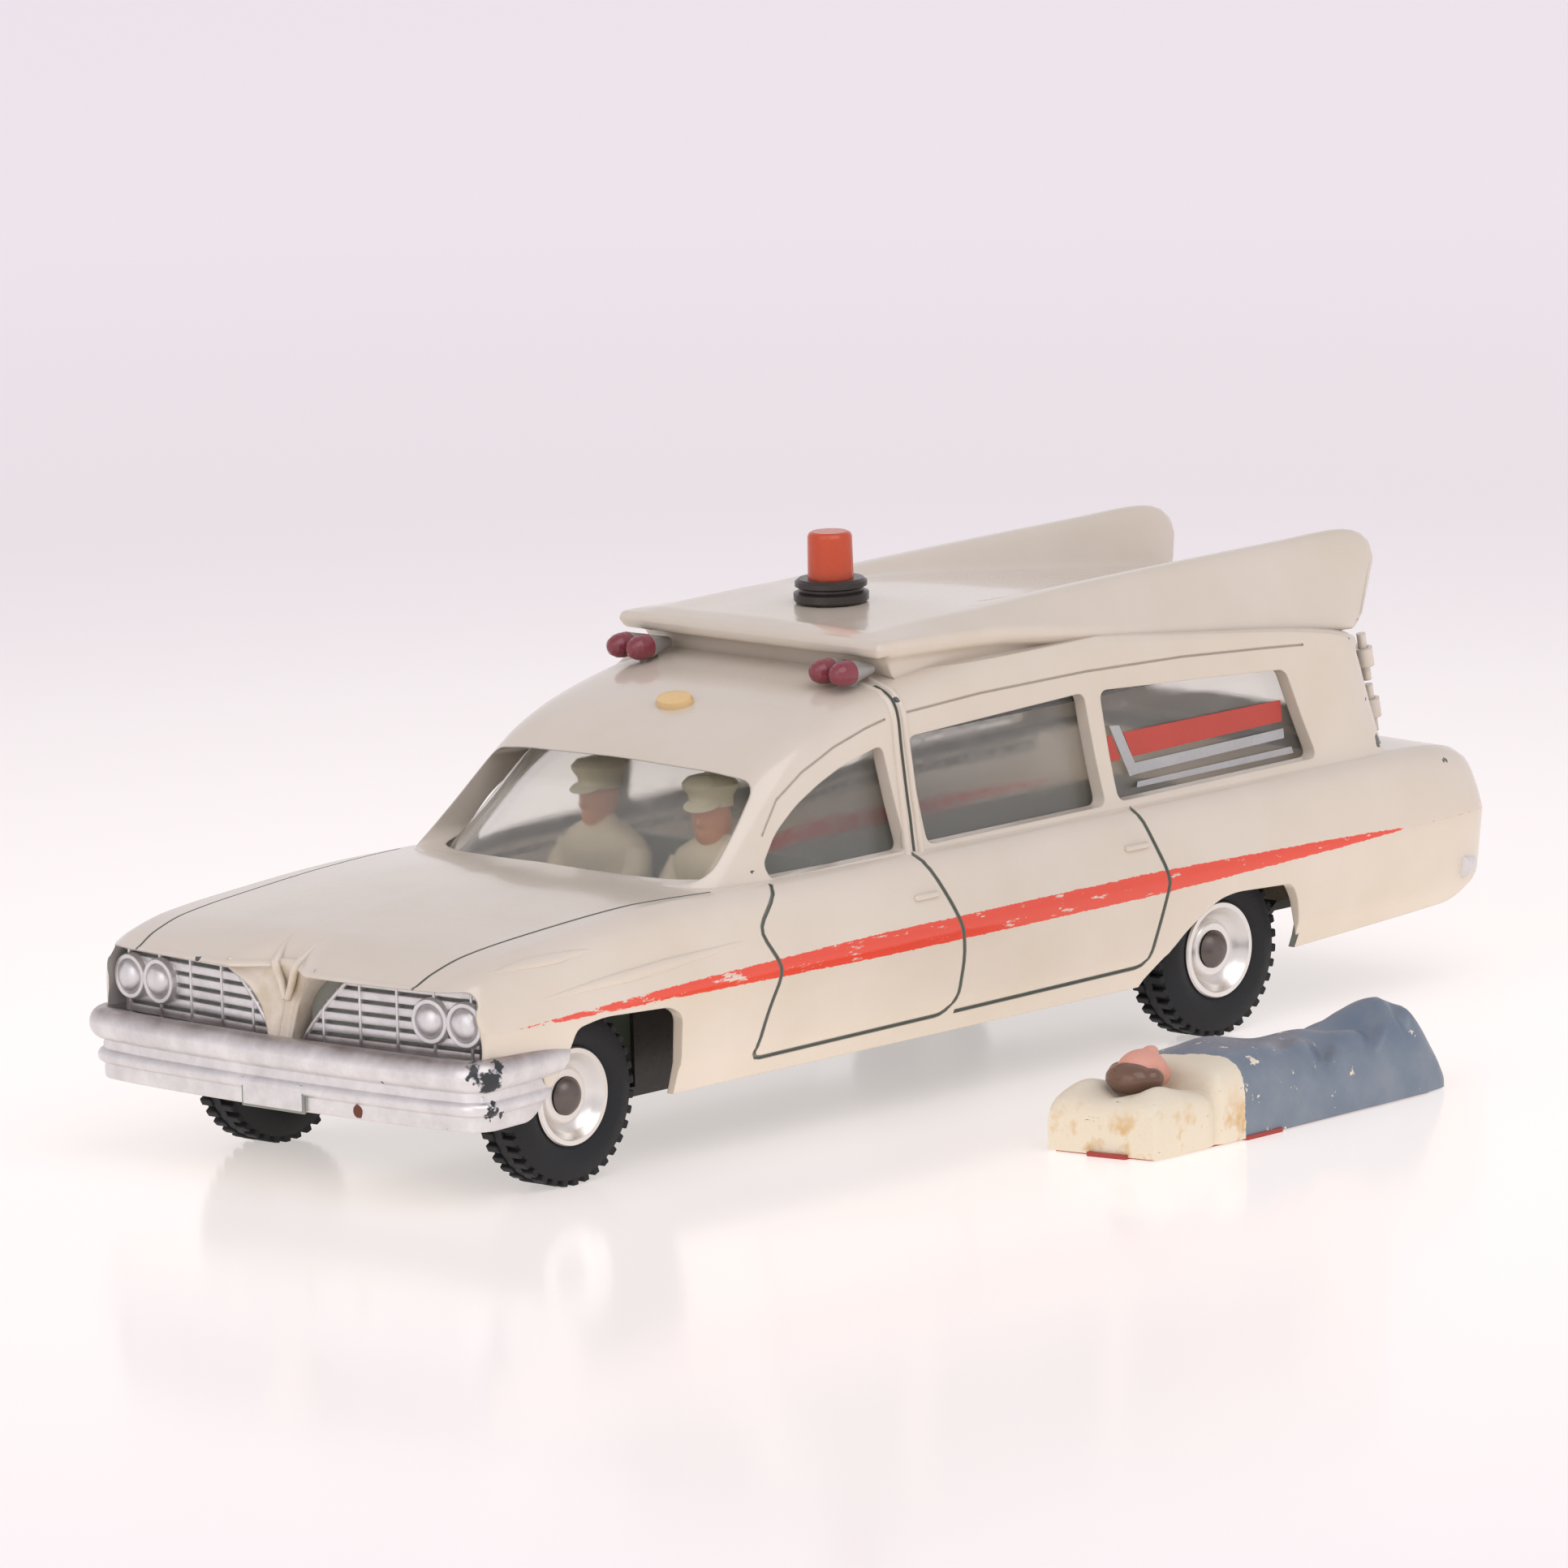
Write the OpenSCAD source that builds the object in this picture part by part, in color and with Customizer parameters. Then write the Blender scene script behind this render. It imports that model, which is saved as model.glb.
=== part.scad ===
// Toy ambulance: die-cast body with a finned roof, tinplate base, spun hubs, crew and a patient.
// X runs forward, Y to the car's left and Z up. Heights are measured from the floor.

/* [Body casting] */
// Length of the body from nose to tail
body_l = 128; // [124:0.5:132]
// Place of the nose ahead of the front axle
nose_reach = 15.9; // [15.4:0.1:16.4]
// Width of the body over the side crease
body_w = 42; // [40.5:0.5:44]
// Height of the belt under the windows
belt_z = 21.3; // [20.8:0.1:22]
// Height of the side crease
crease_z = 14.8; // [14.2:0.1:15.4]
// Height of the sill above the floor
sill_z = 6; // [5.7:0.1:6.4]
// Wall of the casting
wall = 1.1; // [0.9:0.05:1.2]
// Width of the shut lines round the doors and the bonnet
shut_w = 0.4; // [0.3:0.05:0.5]
// Depth of the shut lines
shut_d = 0.3; // [0.2:0.05:0.4]

/* [Cabin and roof] */
// Length of the bonnet, nose to windscreen foot
bonnet_l = 30; // [29:0.1:31]
// Length of the tail behind the cabin
tail_l = 9.8; // [9:0.1:10.8]
// Width of the cabin at the belt
cabin_w = 35.6; // [34.8:0.1:36.4]
// Height of the cabin under the raised roof
cabin_top_z = 35.3; // [34.8:0.1:35.8]
// Height of the window heads
window_top_z = 30.6; // [30.2:0.1:31]
// Distance from the windscreen foot back to the lip of the raised roof
lip_back = 27.8; // [27.2:0.1:28.4]
// Distance from the foot of the fins to the cabin's rear face
fin_foot_gap = 2; // [1.4:0.1:3]
// Distance from the cabin's side in to the roof's side crease
roof_inset = 2.95; // [2.7:0.05:3.2]
// Height of the raised roof at the beacon
roof_z = 39.1; // [38.7:0.1:39.5]
// Height of the fin crests
fin_z = 39.3; // [38.9:0.1:39.7]
// Distance from the roof's side crease in to a fin crest
fin_inset = 3.55; // [3.2:0.05:3.9]

/* [Front end] */
// Depth of the two grille pockets
pocket_d = 2.5; // [2:0.1:2.8]
// Height of the foot of the grille
grille_z = 12.7; // [12.4:0.1:13]
// Diameter of a headlamp ring
lamp_d = 3.75; // [3.5:0.05:3.85]
// Distance from the car's middle to the outer headlamp
lamp_y = 19.4; // [19:0.1:19.6]
// Number of bars across each half of the grille
grille_bars = 6; // [4:1:7]
// Number of upright bars in each half of the grille
grille_posts = 5; // [3:1:6]
// Width of the front bumper
bumper_w = 46; // [45.2:0.1:46.4]
// Diameter of the upper bumper bar
bumper_d = 2.7; // [2.4:0.1:2.9]
// Height of the lower edge of the front apron
apron_z = 7; // [6.8:0.1:7.4]

/* [Wheels] */
// Place of the rear axle ahead of the tail
tail_reach = 33.6; // [33:0.1:34.2]
// Place of the front axle ahead of mid-length
front_axle_x = 47.3; // [46.8:0.1:47.8]
// Distance between the tread centres
track = 32.4; // [31.8:0.1:32.8]
// Diameter of the tyres
tyre_d = 14.8; // [14.2:0.1:15.2]
// Width of the tyres
tyre_w = 4.3; // [4:0.1:4.5]
// Number of lugs round each shoulder of a tyre
tyre_lugs = 36; // [24:1:44]
// Diameter of the spun hubs
hub_d = 8.2; // [7.8:0.1:8.6]
// Diameter of the axles
axle_d = 1.9; // [1.7:0.05:2.1]
// Diameter of the domed axle heads
axle_head_d = 3.2; // [2.9:0.1:3.5]

/* [Base] */
// Height of the underside of the base above the floor
base_clear = 4.8; // [4.6:0.1:5]
// Thickness of the base sheet
base_t = 0.8; // [0.7:0.05:0.9]
// Width of the base
base_w = 25.6; // [25:0.1:26]
// Diameter of the rivets that hold the base
rivet_d = 3; // [2.6:0.1:3.4]

/* [Rear door] */
// Width of the cabin's rear face beside the door, each side
door_margin = 4.6; // [4.4:0.1:5]
// Height of the rear door along its slope
door_h = 8.7; // [8.3:0.1:8.8]
// Thickness of the rear door
door_t = 1; // [0.8:0.05:1.1]
// Gap round the rear door
door_gap = 0.25; // [0.2:0.05:0.35]
// Diameter of the hinge pin
pin_d = 0.8; // [0.7:0.05:0.9]

/* [Roof fittings] */
// Diameter of the beacon's base
beacon_base_d = 6.3; // [5.8:0.1:6.6]
// Height of the beacon's base
beacon_base_h = 2; // [1.8:0.1:2.2]
// Diameter of the beacon's lens
beacon_d = 3.85; // [3.5:0.05:4.1]
// Height of the beacon's lens
beacon_h = 3.9; // [3.6:0.1:4.2]
// Diameter of one lens of a roof lamp
roof_lamp_d = 2.1; // [1.9:0.05:2.2]
// Length of a roof lamp's cone
roof_lamp_l = 2.6; // [2.3:0.1:2.9]
// Distance from the roof's side crease in to a roof lamp
roof_lamp_inset = 3.35; // [3.1:0.05:3.8]
// Length of the roof stud
stud_l = 3.7; // [3.3:0.1:4]

/* [Interior and patient] */
// Room between the interior moulding and the flanges of the base
tray_gap = 0.6; // [0.4:0.1:0.9]
// Height of a crew member from seat to cap
crew_h = 15.4; // [15:0.1:15.6]
// Distance between the crew members
crew_gap = 14; // [13.6:0.1:14.4]
// Length of the stretcher with its patient
patient_l = 42.4; // [41:0.1:44]
// Width of the stretcher's head end
patient_w = 10; // [9.5:0.1:10.5]
// Width of the stretcher's foot end
patient_foot_w = 6.8; // [6.4:0.1:7.2]
// Height of the patient's chest under the blanket
patient_h = 7.6; // [7.2:0.1:8]
// Distance from the car's middle to the stretcher's middle line
patient_y = 45; // [43:0.5:48]

/* [Hidden] */

$fn = 48;
// Overrun of every cut past the face that it opens
over = 1;
// Running fit on an axle or a pin, per side
run_fit = 0.05;
// Seat of one fixed piece in another, per side
seat_fit = 0.03;
// Free room beside a moving face
free_gap = 0.3;
cream = "#dcd7ca";
black = "#20201f";
silver = "#b9b8b6";

// Smooth curves through tables

// Each row starts with its key, in rising order; the result is the row at key k on a cubic
function span_at(rows, k, i = 0) = (i >= len(rows) - 2 || k <= rows[i + 1][0]) ? i : span_at(rows, k, i + 1);
function slope_at(rows, i) =
    let (a = max(i - 1, 0), b = min(i + 1, len(rows) - 1)) (rows[b] - rows[a]) / (rows[b][0] - rows[a][0]);
function row_at(rows, k) =
    let (i = span_at(rows, k), gap = rows[i + 1][0] - rows[i][0], t = (k - rows[i][0]) / gap)
    rows[i] * (2 * t * t * t - 3 * t * t + 1) + slope_at(rows, i) * gap * (t * t * t - 2 * t * t + t)
    + rows[i + 1] * (3 * t * t - 2 * t * t * t) + slope_at(rows, i + 1) * gap * (t * t * t - t * t);
// Keys along a table, with the given number of steps in each span
function keys(rows, steps) =
    concat([for (i = [0 : len(rows) - 2], s = [0 : steps - 1])
            rows[i][0] + (rows[i + 1][0] - rows[i][0]) * s / steps], [rows[len(rows) - 1][0]]);

// A closed solid through loops of equal length, capped at both ends
module loft(loops) {
    n = len(loops[0]);
    m = len(loops);
    sides = [for (i = [0 : m - 2], j = [0 : n - 1], half = [0, 1])
             let (a = i * n + j, b = i * n + (j + 1) % n)
             half == 0 ? [a, b + n, b] : [a, a + n, b + n]];
    // Each end is closed by strips between opposite points of its loop
    first = [for (j = [0 : floor((n - 3) / 2)], half = [0, 1])
             let (a = j, b = j + 1, c = n - 1 - j, d = n - 2 - j)
             if (half == 0 || b != d) half == 0 ? [a, b, c] : [b, d, c]];
    last = [for (f = first) [for (i = [2, 1, 0]) (m - 1) * n + f[i]]];
    polyhedron([for (loop = loops, p = loop) p], concat(first, sides, last));
}

// A round line along plan points
module stroke(points, w) {
    for (i = [0 : len(points) - 2]) hull() {
        translate(points[i]) circle(d = w, $fn = 6);
        translate(points[i + 1]) circle(d = w, $fn = 6);
    }
}

// An outline in X and Z, drawn out along Y on both sides of the car between two distances
module both_sides(y_from, y_to) {
    for (side = [0, 1]) mirror([0, side, 0]) translate([0, y_to, 0]) rotate([90, 0, 0])
        linear_extrude(y_to - y_from) children();
}
// An outline in Y and Z, drawn out along X between two places
module along_x(x_from, x_to) {
    translate([x_from, 0, 0]) rotate([90, 0, 90]) linear_extrude(x_to - x_from) children();
}
module rounded(r) { offset(r = r, $fn = 16) offset(delta = -r) children(); }
// The whole car, drawn from the floor up, is moved to the underside of its base
module seated() { translate([0, 0, -base_clear]) children(); }

// Body surface

half_w = body_w / 2;
nose_x = front_axle_x + nose_reach;
tail_x = nose_x - body_l;
screen_x = nose_x - bonnet_l;
cabin_l = body_l - bonnet_l - tail_l;
roof_lip_x = screen_x - lip_back;
roof_l = cabin_l - lip_back - fin_foot_gap;
roof_w = cabin_w - 2 * roof_inset;
fin_gap = roof_w - 2 * fin_inset;
roof_lamp_gap = roof_w - 2 * roof_lamp_inset;
door_w = cabin_w - 2 * door_margin;
tray_w = base_w - base_t - 2 * tray_gap;
function body_x(share) = nose_x - share * body_l;
// Place along the body from the nose, half width, top height and crown of the bonnet
body_shares = [
    [0.000, 1.040, 0.868, 0.012], [0.015, 1.048, 0.905, 0.024], [0.045, 1.046, 0.946, 0.036],
    [0.120, 1.032, 0.984, 0.048], [0.200, 1.014, 1.010, 0.050], [0.295, 1.005, 1.008, 0.040],
    [0.490, 1.004, 0.997, 0.012], [0.690, 1.000, 0.994, 0.010], [0.890, 0.992, 0.990, 0.010],
    [0.950, 0.978, 0.970, 0.010], [0.986, 0.955, 0.925, 0.008], [1.000, 0.905, 0.840, 0.004]];
// Half width and height up the side, from the sill to the crease and from the crease to the top
side_low_shares = [[0.905, 0], [0.935, 0.25], [0.970, 0.60], [0.995, 0.90], [1.000, 1]];
side_high_shares = [[0.988, 0.20], [0.960, 0.52], [0.915, 0.86], [0.850, 1]];
// Half width and height of the bonnet's crown, towards the middle
crown_shares = [[0.700, 0.30], [0.400, 0.78], [0, 1]];

// The front sweeps back towards its corners, and the sweep fades out along the wings
nose_sweep = 1.8;
sweep_end_share = 0.16;
function swept_x(share, y_share) =
    body_x(share) - nose_sweep * max(1 - share / sweep_end_share, 0) * y_share * y_share * y_share;
function body_half(row, inset) =
    let (w = row[1] * half_w - inset, top = row[2] * belt_z - inset, crown = row[3] * belt_z,
         low = inset > 0 ? sill_z - over : sill_z)
    concat([for (s = side_low_shares) [swept_x(row[0], s[0]), s[0] * w, low + s[1] * (crease_z - low)]],
           [for (s = side_high_shares) [swept_x(row[0], s[0]), s[0] * w, crease_z + s[1] * (top - crease_z)]],
           [for (s = crown_shares) [swept_x(row[0], s[0]), s[0] * w, top + s[1] * crown]]);
// A half section that ends in the middle, run on from the right sill over the top to the left sill
function whole(half) =
    concat([for (p = half) [p[0], -p[1], p[2]]], [for (i = [len(half) - 2 : -1 : 0]) half[i]]);
// The body, or the same form drawn in by an inset
module body_form(inset, from_share, to_share) {
    loft([for (k = keys(body_shares, 2)) if (k >= from_share && k <= to_share)
          whole(body_half(row_at(body_shares, k), inset))]);
}

// Cabin surface

// Height, then front middle, end of the front curve, half width, roundness of the front,
// end of the side and rear middle, as shares of the cabin's rise, length and width
cabin_shares = [
    [-0.090, -0.022, 0.240, 1.025, 6.0, 0.930, 1.006], [0.000, 0.000, 0.250, 1.002, 6.0, 0.928, 1.001],
    [0.265, 0.058, 0.275, 0.956, 6.2, 0.922, 0.994], [0.590, 0.126, 0.320, 0.914, 6.4, 0.915, 0.984],
    [0.700, 0.150, 0.365, 0.904, 5.8, 0.908, 0.978], [0.800, 0.182, 0.420, 0.893, 5.2, 0.830, 0.900],
    [0.905, 0.234, 0.490, 0.876, 4.4, 0.690, 0.760], [1.000, 0.316, 0.540, 0.850, 3.6, 0.560, 0.640]];
front_steps = 12;
rear_steps = 5;
// Roundness of the rear corners
rear_round = 6;
function bend(t, n) = pow(max(t, 0), 2 / n);
function cabin_x(share) = screen_x - share * cabin_l;
function cabin_z(share) = belt_z + share * (cabin_top_z - belt_z);
// The left half of the cabin's plan at one height, front middle to side
function cabin_front(row, inset) =
    let (x_mid = cabin_x(row[1]) - inset, x_side = cabin_x(row[2]), y = row[3] * cabin_w / 2 - inset)
    [for (i = [0 : front_steps]) let (a = 90 * i / front_steps)
     [x_side + (x_mid - x_side) * bend(cos(a), row[4]), y * bend(sin(a), row[4]), cabin_z(row[0]) - inset]];
function cabin_rear(row, inset) =
    let (x_mid = cabin_x(row[6]) + inset, x_side = cabin_x(row[5]), y = row[3] * cabin_w / 2 - inset)
    [for (i = [rear_steps : -1 : 0]) let (a = 90 * i / rear_steps)
     [x_side + (x_mid - x_side) * bend(cos(a), rear_round), y * bend(sin(a), rear_round), cabin_z(row[0]) - inset]];
function cabin_half(row, inset) = concat(cabin_front(row, inset), cabin_rear(row, inset));
// The front and rear middles are shared by both halves
function cabin_loop(half) =
    concat([for (i = [0 : len(half) - 1]) half[i]],
           [for (i = [len(half) - 2 : -1 : 1]) [half[i][0], -half[i][1], half[i][2]]]);
module cabin_form(inset) {
    loft([for (k = keys(cabin_shares, 2)) cabin_loop(cabin_half(row_at(cabin_shares, k), inset))]);
}

// Raised roof with its fins

// Place along the roof, side crease height, crest height, inner foot of the fin and middle height,
// underside height, then how far the section leans back
roof_shares = [
    [0.000, 0.974, 0.979, 0.982, 0.986, 0.957, 0.00], [0.022, 0.974, 0.985, 0.991, 0.995, 0.951, 0.00],
    [0.042, 0.973, 0.985, 0.992, 0.996, 0.892, 0.00], [0.160, 0.965, 0.988, 0.996, 1.000, 0.886, 0.00],
    [0.270, 0.954, 0.991, 0.995, 0.998, 0.882, 0.00], [0.470, 0.908, 0.998, 0.975, 0.977, 0.870, 0.00],
    [0.690, 0.870, 1.000, 0.936, 0.931, 0.841, 0.10], [0.860, 0.839, 1.000, 0.903, 0.895, 0.811, 0.45],
    [1.000, 0.812, 1.000, 0.868, 0.856, 0.798, 0.77]];
// Half width of the crease, crest and fin foot, and of the underside
crease_share = 1;
crest_out_share = 1.04;
crest_in_share = 0.93;
fin_foot_share = 0.80;
lip_foot_share = 0.965;
under_share = 0.915;
// Drop of the lip's lower edge below its crease, and of the crest's round shoulders
lip_drop = 1.05;
crest_drop = 0.3;
// Place and height of the roof's easy curve between its middle and the fin foot
ease_y_share = 0.5;
ease_z_share = 0.25;

// Outline over the top and back along the underside, as distances from the middle and heights
function roof_top(row) =
    let (y = roof_w / 2, c = fin_gap / 2)
    [[0, row[4] * roof_z], [ease_y_share * fin_foot_share * c, (row[4] + ease_z_share * (row[3] - row[4])) * roof_z],
     [fin_foot_share * c, row[3] * roof_z], [crest_in_share * c, row[2] * fin_z - crest_drop],
     [c, row[2] * fin_z], [crest_out_share * c, row[2] * fin_z - crest_drop], [crease_share * y, row[1] * roof_z]];
function roof_under(row) =
    let (y = roof_w / 2, c = fin_gap / 2, z = row[5] * roof_z, under = under_share * y)
    [[0, z], [ease_y_share * fin_foot_share * c, z], [fin_foot_share * c, z], [crest_in_share * c, z], [c, z],
     [under, z], [lip_foot_share * y, row[1] * roof_z - lip_drop]];
function roof_row(row, flat) =
    let (x = roof_lip_x - row[0] * roof_l, under = row[5] * roof_z) [for (p = flat) [x - row[6] * (p[1] - under), p[0], p[1]]];
// A half outline carried over to the other side, from the right edge to the left
function across(half) =
    concat([for (i = [len(half) - 1 : -1 : 1]) [half[i][0], -half[i][1], half[i][2]]], half);
function reversed(points) = [for (i = [len(points) - 1 : -1 : 0]) points[i]];
module roof_form() {
    loft([for (k = keys(roof_shares, 2)) let (row = row_at(roof_shares, k))
          concat(across(roof_row(row, roof_top(row))), reversed(across(roof_row(row, roof_under(row)))))]);
}

// Openings of the body

rear_axle_x = tail_x + tail_reach;
tyre_r = tyre_d / 2;
// Window outlines: places along the cabin from the windscreen foot, and heights from belt to window head
front_window_shares = [[0.118, 0.02], [0.113, 0.16], [0.136, 0.40], [0.168, 0.60], [0.200, 0.74],
                       [0.236, 0.86], [0.292, 0.97], [0.304, 0.02]];
middle_window_shares = [[0.328, 0.99], [0.332, 0.03], [0.581, 0.03], [0.574, 1.05]];
rear_window_shares = [[0.596, 1.04], [0.599, 0.04], [0.882, 0.05], [0.857, 0.88]];
// Windscreen outline: half widths and heights
screen_shares = [[0.915, 0.07], [0.876, 0.45], [0.825, 0.84], [0.60, 0.89], [0, 0.91]];
window_rise = window_top_z - belt_z;
function window_points(shares) = [for (s = shares) [cabin_x(s[0]), belt_z + s[1] * window_rise]];
window_round = 0.7;
// Depth of the window cuts from the cabin's side and from the windscreen foot
window_cut_d = 5.8;
screen_cut_d = 19.2;

module window_cuts() {
    for (shares = [front_window_shares, middle_window_shares, rear_window_shares])
        both_sides(cabin_w / 2 - window_cut_d, half_w) rounded(window_round) polygon(window_points(shares));
    points = [for (s = screen_shares) [s[0] * cabin_w / 2, belt_z + s[1] * window_rise]];
    along_x(screen_x - screen_cut_d, screen_x + over) rounded(window_round)
        polygon(concat(points, [for (i = [len(points) - 1 : -1 : 0]) [-points[i][0], points[i][1]]]));
}

// Arch outlines as shares of the tyre's radius, from the hub
front_arch_shares = [[-1.50, -0.90], [-1.38, 0.74], [-1.16, 0.86], [-0.04, 0.93], [0.38, 0.87], [0.46, 0.68],
                     [0.570, 0.46], [0.77, 0.22], [1.04, 0.00], [1.30, -0.08], [1.30, -0.90]];
rear_arch_shares = [[1.58, -0.90], [1.52, -0.18], [0.88, 0.37], [0.34, 0.67], [0.05, 0.71], [-0.90, 0.66],
                    [-1.02, 0.48], [-1.12, -0.02], [-1.12, -0.90]];
arch_round = 0.8;
arch_cut_y = 15;
module arch_cuts() {
    for (arch = [[front_axle_x, front_arch_shares], [rear_axle_x, rear_arch_shares]])
        both_sides(arch_cut_y, half_w + over) rounded(arch_round)
            polygon([for (s = arch[1]) [arch[0] + s[0] * tyre_r, tyre_r + s[1] * tyre_r]]);
}

// Wheel wells hollowed into the wings
well_gap = 1.2;
well_wall = 1.4;
module wheel_wells() {
    for (x = [front_axle_x, rear_axle_x], side = [0, 1]) mirror([0, side, 0])
        translate([x, half_w - well_wall, tyre_r]) rotate([90, 0, 0])
            cylinder(r = tyre_r + well_gap, h = half_w - well_wall - track / 2 + tyre_w, $fn = 32);
}

// The tail rises behind the rear wheels and the apron at the front
tail_rise_shares = [[0.815, 0.05], [0.945, 0.16], [0.975, 0.36], [1.010, 0.58]];
module lower_cuts() {
    tail = [for (s = tail_rise_shares) [body_x(s[0]), sill_z + s[1] * (crease_z - sill_z)]];
    both_sides(0, half_w + over) polygon(concat(tail, [[tail[3][0], 0], [tail[0][0], 0]]));
    both_sides(0, half_w + over)
        polygon([[front_axle_x, 0], [nose_x + over, 0], [nose_x + over, apron_z], [front_axle_x, apron_z]]);
}

// Shut lines: places as shares of the body's length, heights from sill to belt
front_door_shares = [[0.311, 1.0], [0.282, 0.80], [0.298, 0.57], [0.287, 0.37], [0.276, 0.10], [0.457, 0.112],
                     [0.468, 0.20], [0.471, 0.42], [0.466, 0.62], [0.452, 0.88], [0.444, 1.0]];
rear_door_shares = [[0.468, 0.112], [0.652, 0.125], [0.661, 0.36], [0.668, 0.60], [0.660, 0.78], [0.653, 1.0]];
bonnet_shares = [[0.002, 0.745], [0.020, 0.757], [0.045, 0.765], [0.120, 0.775], [0.195, 0.790], [0.260, 0.840]];
function side_points(shares) = [for (s = shares) [body_x(s[0]), sill_z + s[1] * (belt_z - sill_z)]];
module shut_lines() {
    difference() {
        union() {
            for (shares = [front_door_shares, rear_door_shares])
                both_sides(half_w / 2, half_w + over) stroke(side_points(shares), shut_w);
            for (side = [1, -1]) translate([0, 0, crease_z]) linear_extrude(belt_z)
                stroke([for (s = bonnet_shares) [body_x(s[0]), side * s[1] * half_w]], shut_w);
        }
        body_form(shut_d, 0, 1);
        cabin_form(-shut_d);
    }
}

// Front end

// Grille pocket outline: distances from the middle and heights above the grille's foot
pocket_shares = [[0.062, 0], [0.950, 0.02], [0.965, 0.12], [0.955, 0.80], [0.920, 0.95], [0.200, 0.95], [0.165, 0.86]];
// The grille itself stops short of the prow, along a slant
grille_shares = [[0.070, 0], [0.960, 0], [0.960, 0.92], [0.330, 0.92]];
pocket_rise = 5.9;
lamp_rise_share = 0.46;
lamp_z = grille_z + lamp_rise_share * pocket_rise;
lamp_step_share = 0.95;
ring_share = 0.68;
ring_h = 2.3;
bar_d = 0.55;
post_w_share = 1.3;
function pocket_points(shares) = [for (s = shares) [s[0] * half_w, grille_z + s[1] * pocket_rise]];
// Each half of the front: its floor turned back with the sweep of the nose
grille_turn = atan(nose_sweep / half_w);
module front_half() {
    for (side = [0, 1]) mirror([0, side, 0]) translate([nose_x - pocket_d, 0, 0]) rotate([0, 0, grille_turn]) children();
}
module pocket_cuts() {
    front_half() along_x(0, pocket_d + nose_sweep + over) rounded(arch_round) polygon(pocket_points(pocket_shares));
}
module grille() {
    front_half() {
        intersection() {
            along_x(-wall / 2, wall) polygon(pocket_points(grille_shares));
            union() {
                for (i = [0 : grille_bars - 1])
                    translate([0, half_w / 2, grille_z + (i + 1 / 2) * pocket_rise / grille_bars])
                        cube([bar_d, half_w, bar_d], center = true);
                for (i = [1 : grille_posts]) translate([0, i * half_w / (grille_posts + 1), grille_z + pocket_rise / 2])
                    cube([bar_d * post_w_share, bar_d, pocket_rise], center = true);
            }
        }
        for (i = [0, 1]) translate([-wall / 2, lamp_y - i * lamp_step_share * lamp_d, lamp_z]) rotate([0, 90, 0]) headlamp();
    }
}
module headlamp() {
    cylinder(d = lamp_d, h = ring_h, $fn = 16);
    translate([0, 0, ring_h - wall / 2]) intersection() {
        sphere(d = lamp_d * ring_share, $fn = 12);
        translate([0, 0, -wall]) cylinder(d = lamp_d, h = lamp_d, $fn = 12);
    }
}
// Bumper plan: setback from its front and distance from the middle, front to side
bumper_shares = [[0, 0], [0.02, 0.45], [0.05, 0.76], [0.095, 0.955], [0.18, 1], [0.60, 0.975], [1, 0.930]];
// How far the bumper wraps back round the wing, and stands ahead of the nose
bumper_wrap = 13;
bumper_reach = 1.3;
bumper_z = grille_z - bumper_d / 2 + seat_fit;
// The slim lower bar and the apron stand back from the upper bar
lower_bar_d = 1.2;
lower_bar_back = 0.7;
apron_t = 1.2;
apron_back = 1.1;
function bumper_points(d, back) = [for (s = bumper_shares)
    [nose_x + bumper_reach - back - d / 2 - s[0] * bumper_wrap, s[1] * ((bumper_w - d) / 2 - back)]];
// A bar along plan points, on both sides of the middle
module bar(points, d, z) {
    for (side = [1, -1], i = [0 : len(points) - 2]) hull()
        for (p = [points[i], points[i + 1]]) translate([p[0], side * p[1], z]) sphere(d = d, $fn = 8);
}
module front_bumper() {
    bar(bumper_points(bumper_d, 0), bumper_d, bumper_z);
    bar(bumper_points(lower_bar_d, lower_bar_back), lower_bar_d, bumper_z - bumper_d);
    points = bumper_points(apron_t, apron_back);
    for (side = [1, -1], i = [0 : len(points) - 2]) hull()
        for (p = [points[i], points[i + 1]]) translate([p[0], side * p[1], apron_z])
            cylinder(d = apron_t, h = bumper_z - apron_z, $fn = 6);
}
// Below the grille the body stands behind the bumper
module lower_nose_cut() {
    points = bumper_points(apron_t, apron_back);
    last = points[len(points) - 1];
    linear_extrude(grille_z - bumper_d / 2) for (side = [0, 1]) mirror([0, side])
        polygon(concat(points, [[last[0], bumper_w], [nose_x + bumper_w, bumper_w], [nose_x + bumper_w, 0]]));
}
// The prow between the grille halves, drawn to a ridge
prow_w = 3.4;
prow_reach = 0.7;
prow_top_z = grille_z + pocket_rise;
prow_back = 3;
module prow() {
    hull() {
        translate([nose_x - prow_back, 0, prow_top_z]) sphere(d = prow_w / 2, $fn = 8);
        translate([nose_x - prow_w / 4, 0, prow_top_z - prow_w / 4]) sphere(d = prow_w / 2, $fn = 8);
        translate([nose_x + prow_reach - prow_w / 6, 0, grille_z + prow_w / 2]) sphere(d = prow_w / 3, $fn = 8);
        translate([nose_x - prow_w / 6, 0, grille_z]) sphere(d = prow_w / 3, $fn = 8);
    }
}
// The rear bumper is a low roll across the tail
tail_bar_d = 2;
tail_bar_shares = [[0.30, 0], [0.30, 0.72], [0.95, 0.90]];
module rear_bumper() {
    bar([for (s = tail_bar_shares) [tail_x + s[0] * tail_bar_d, s[1] * half_w]], tail_bar_d, (sill_z + crease_z) / 2);
}

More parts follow.
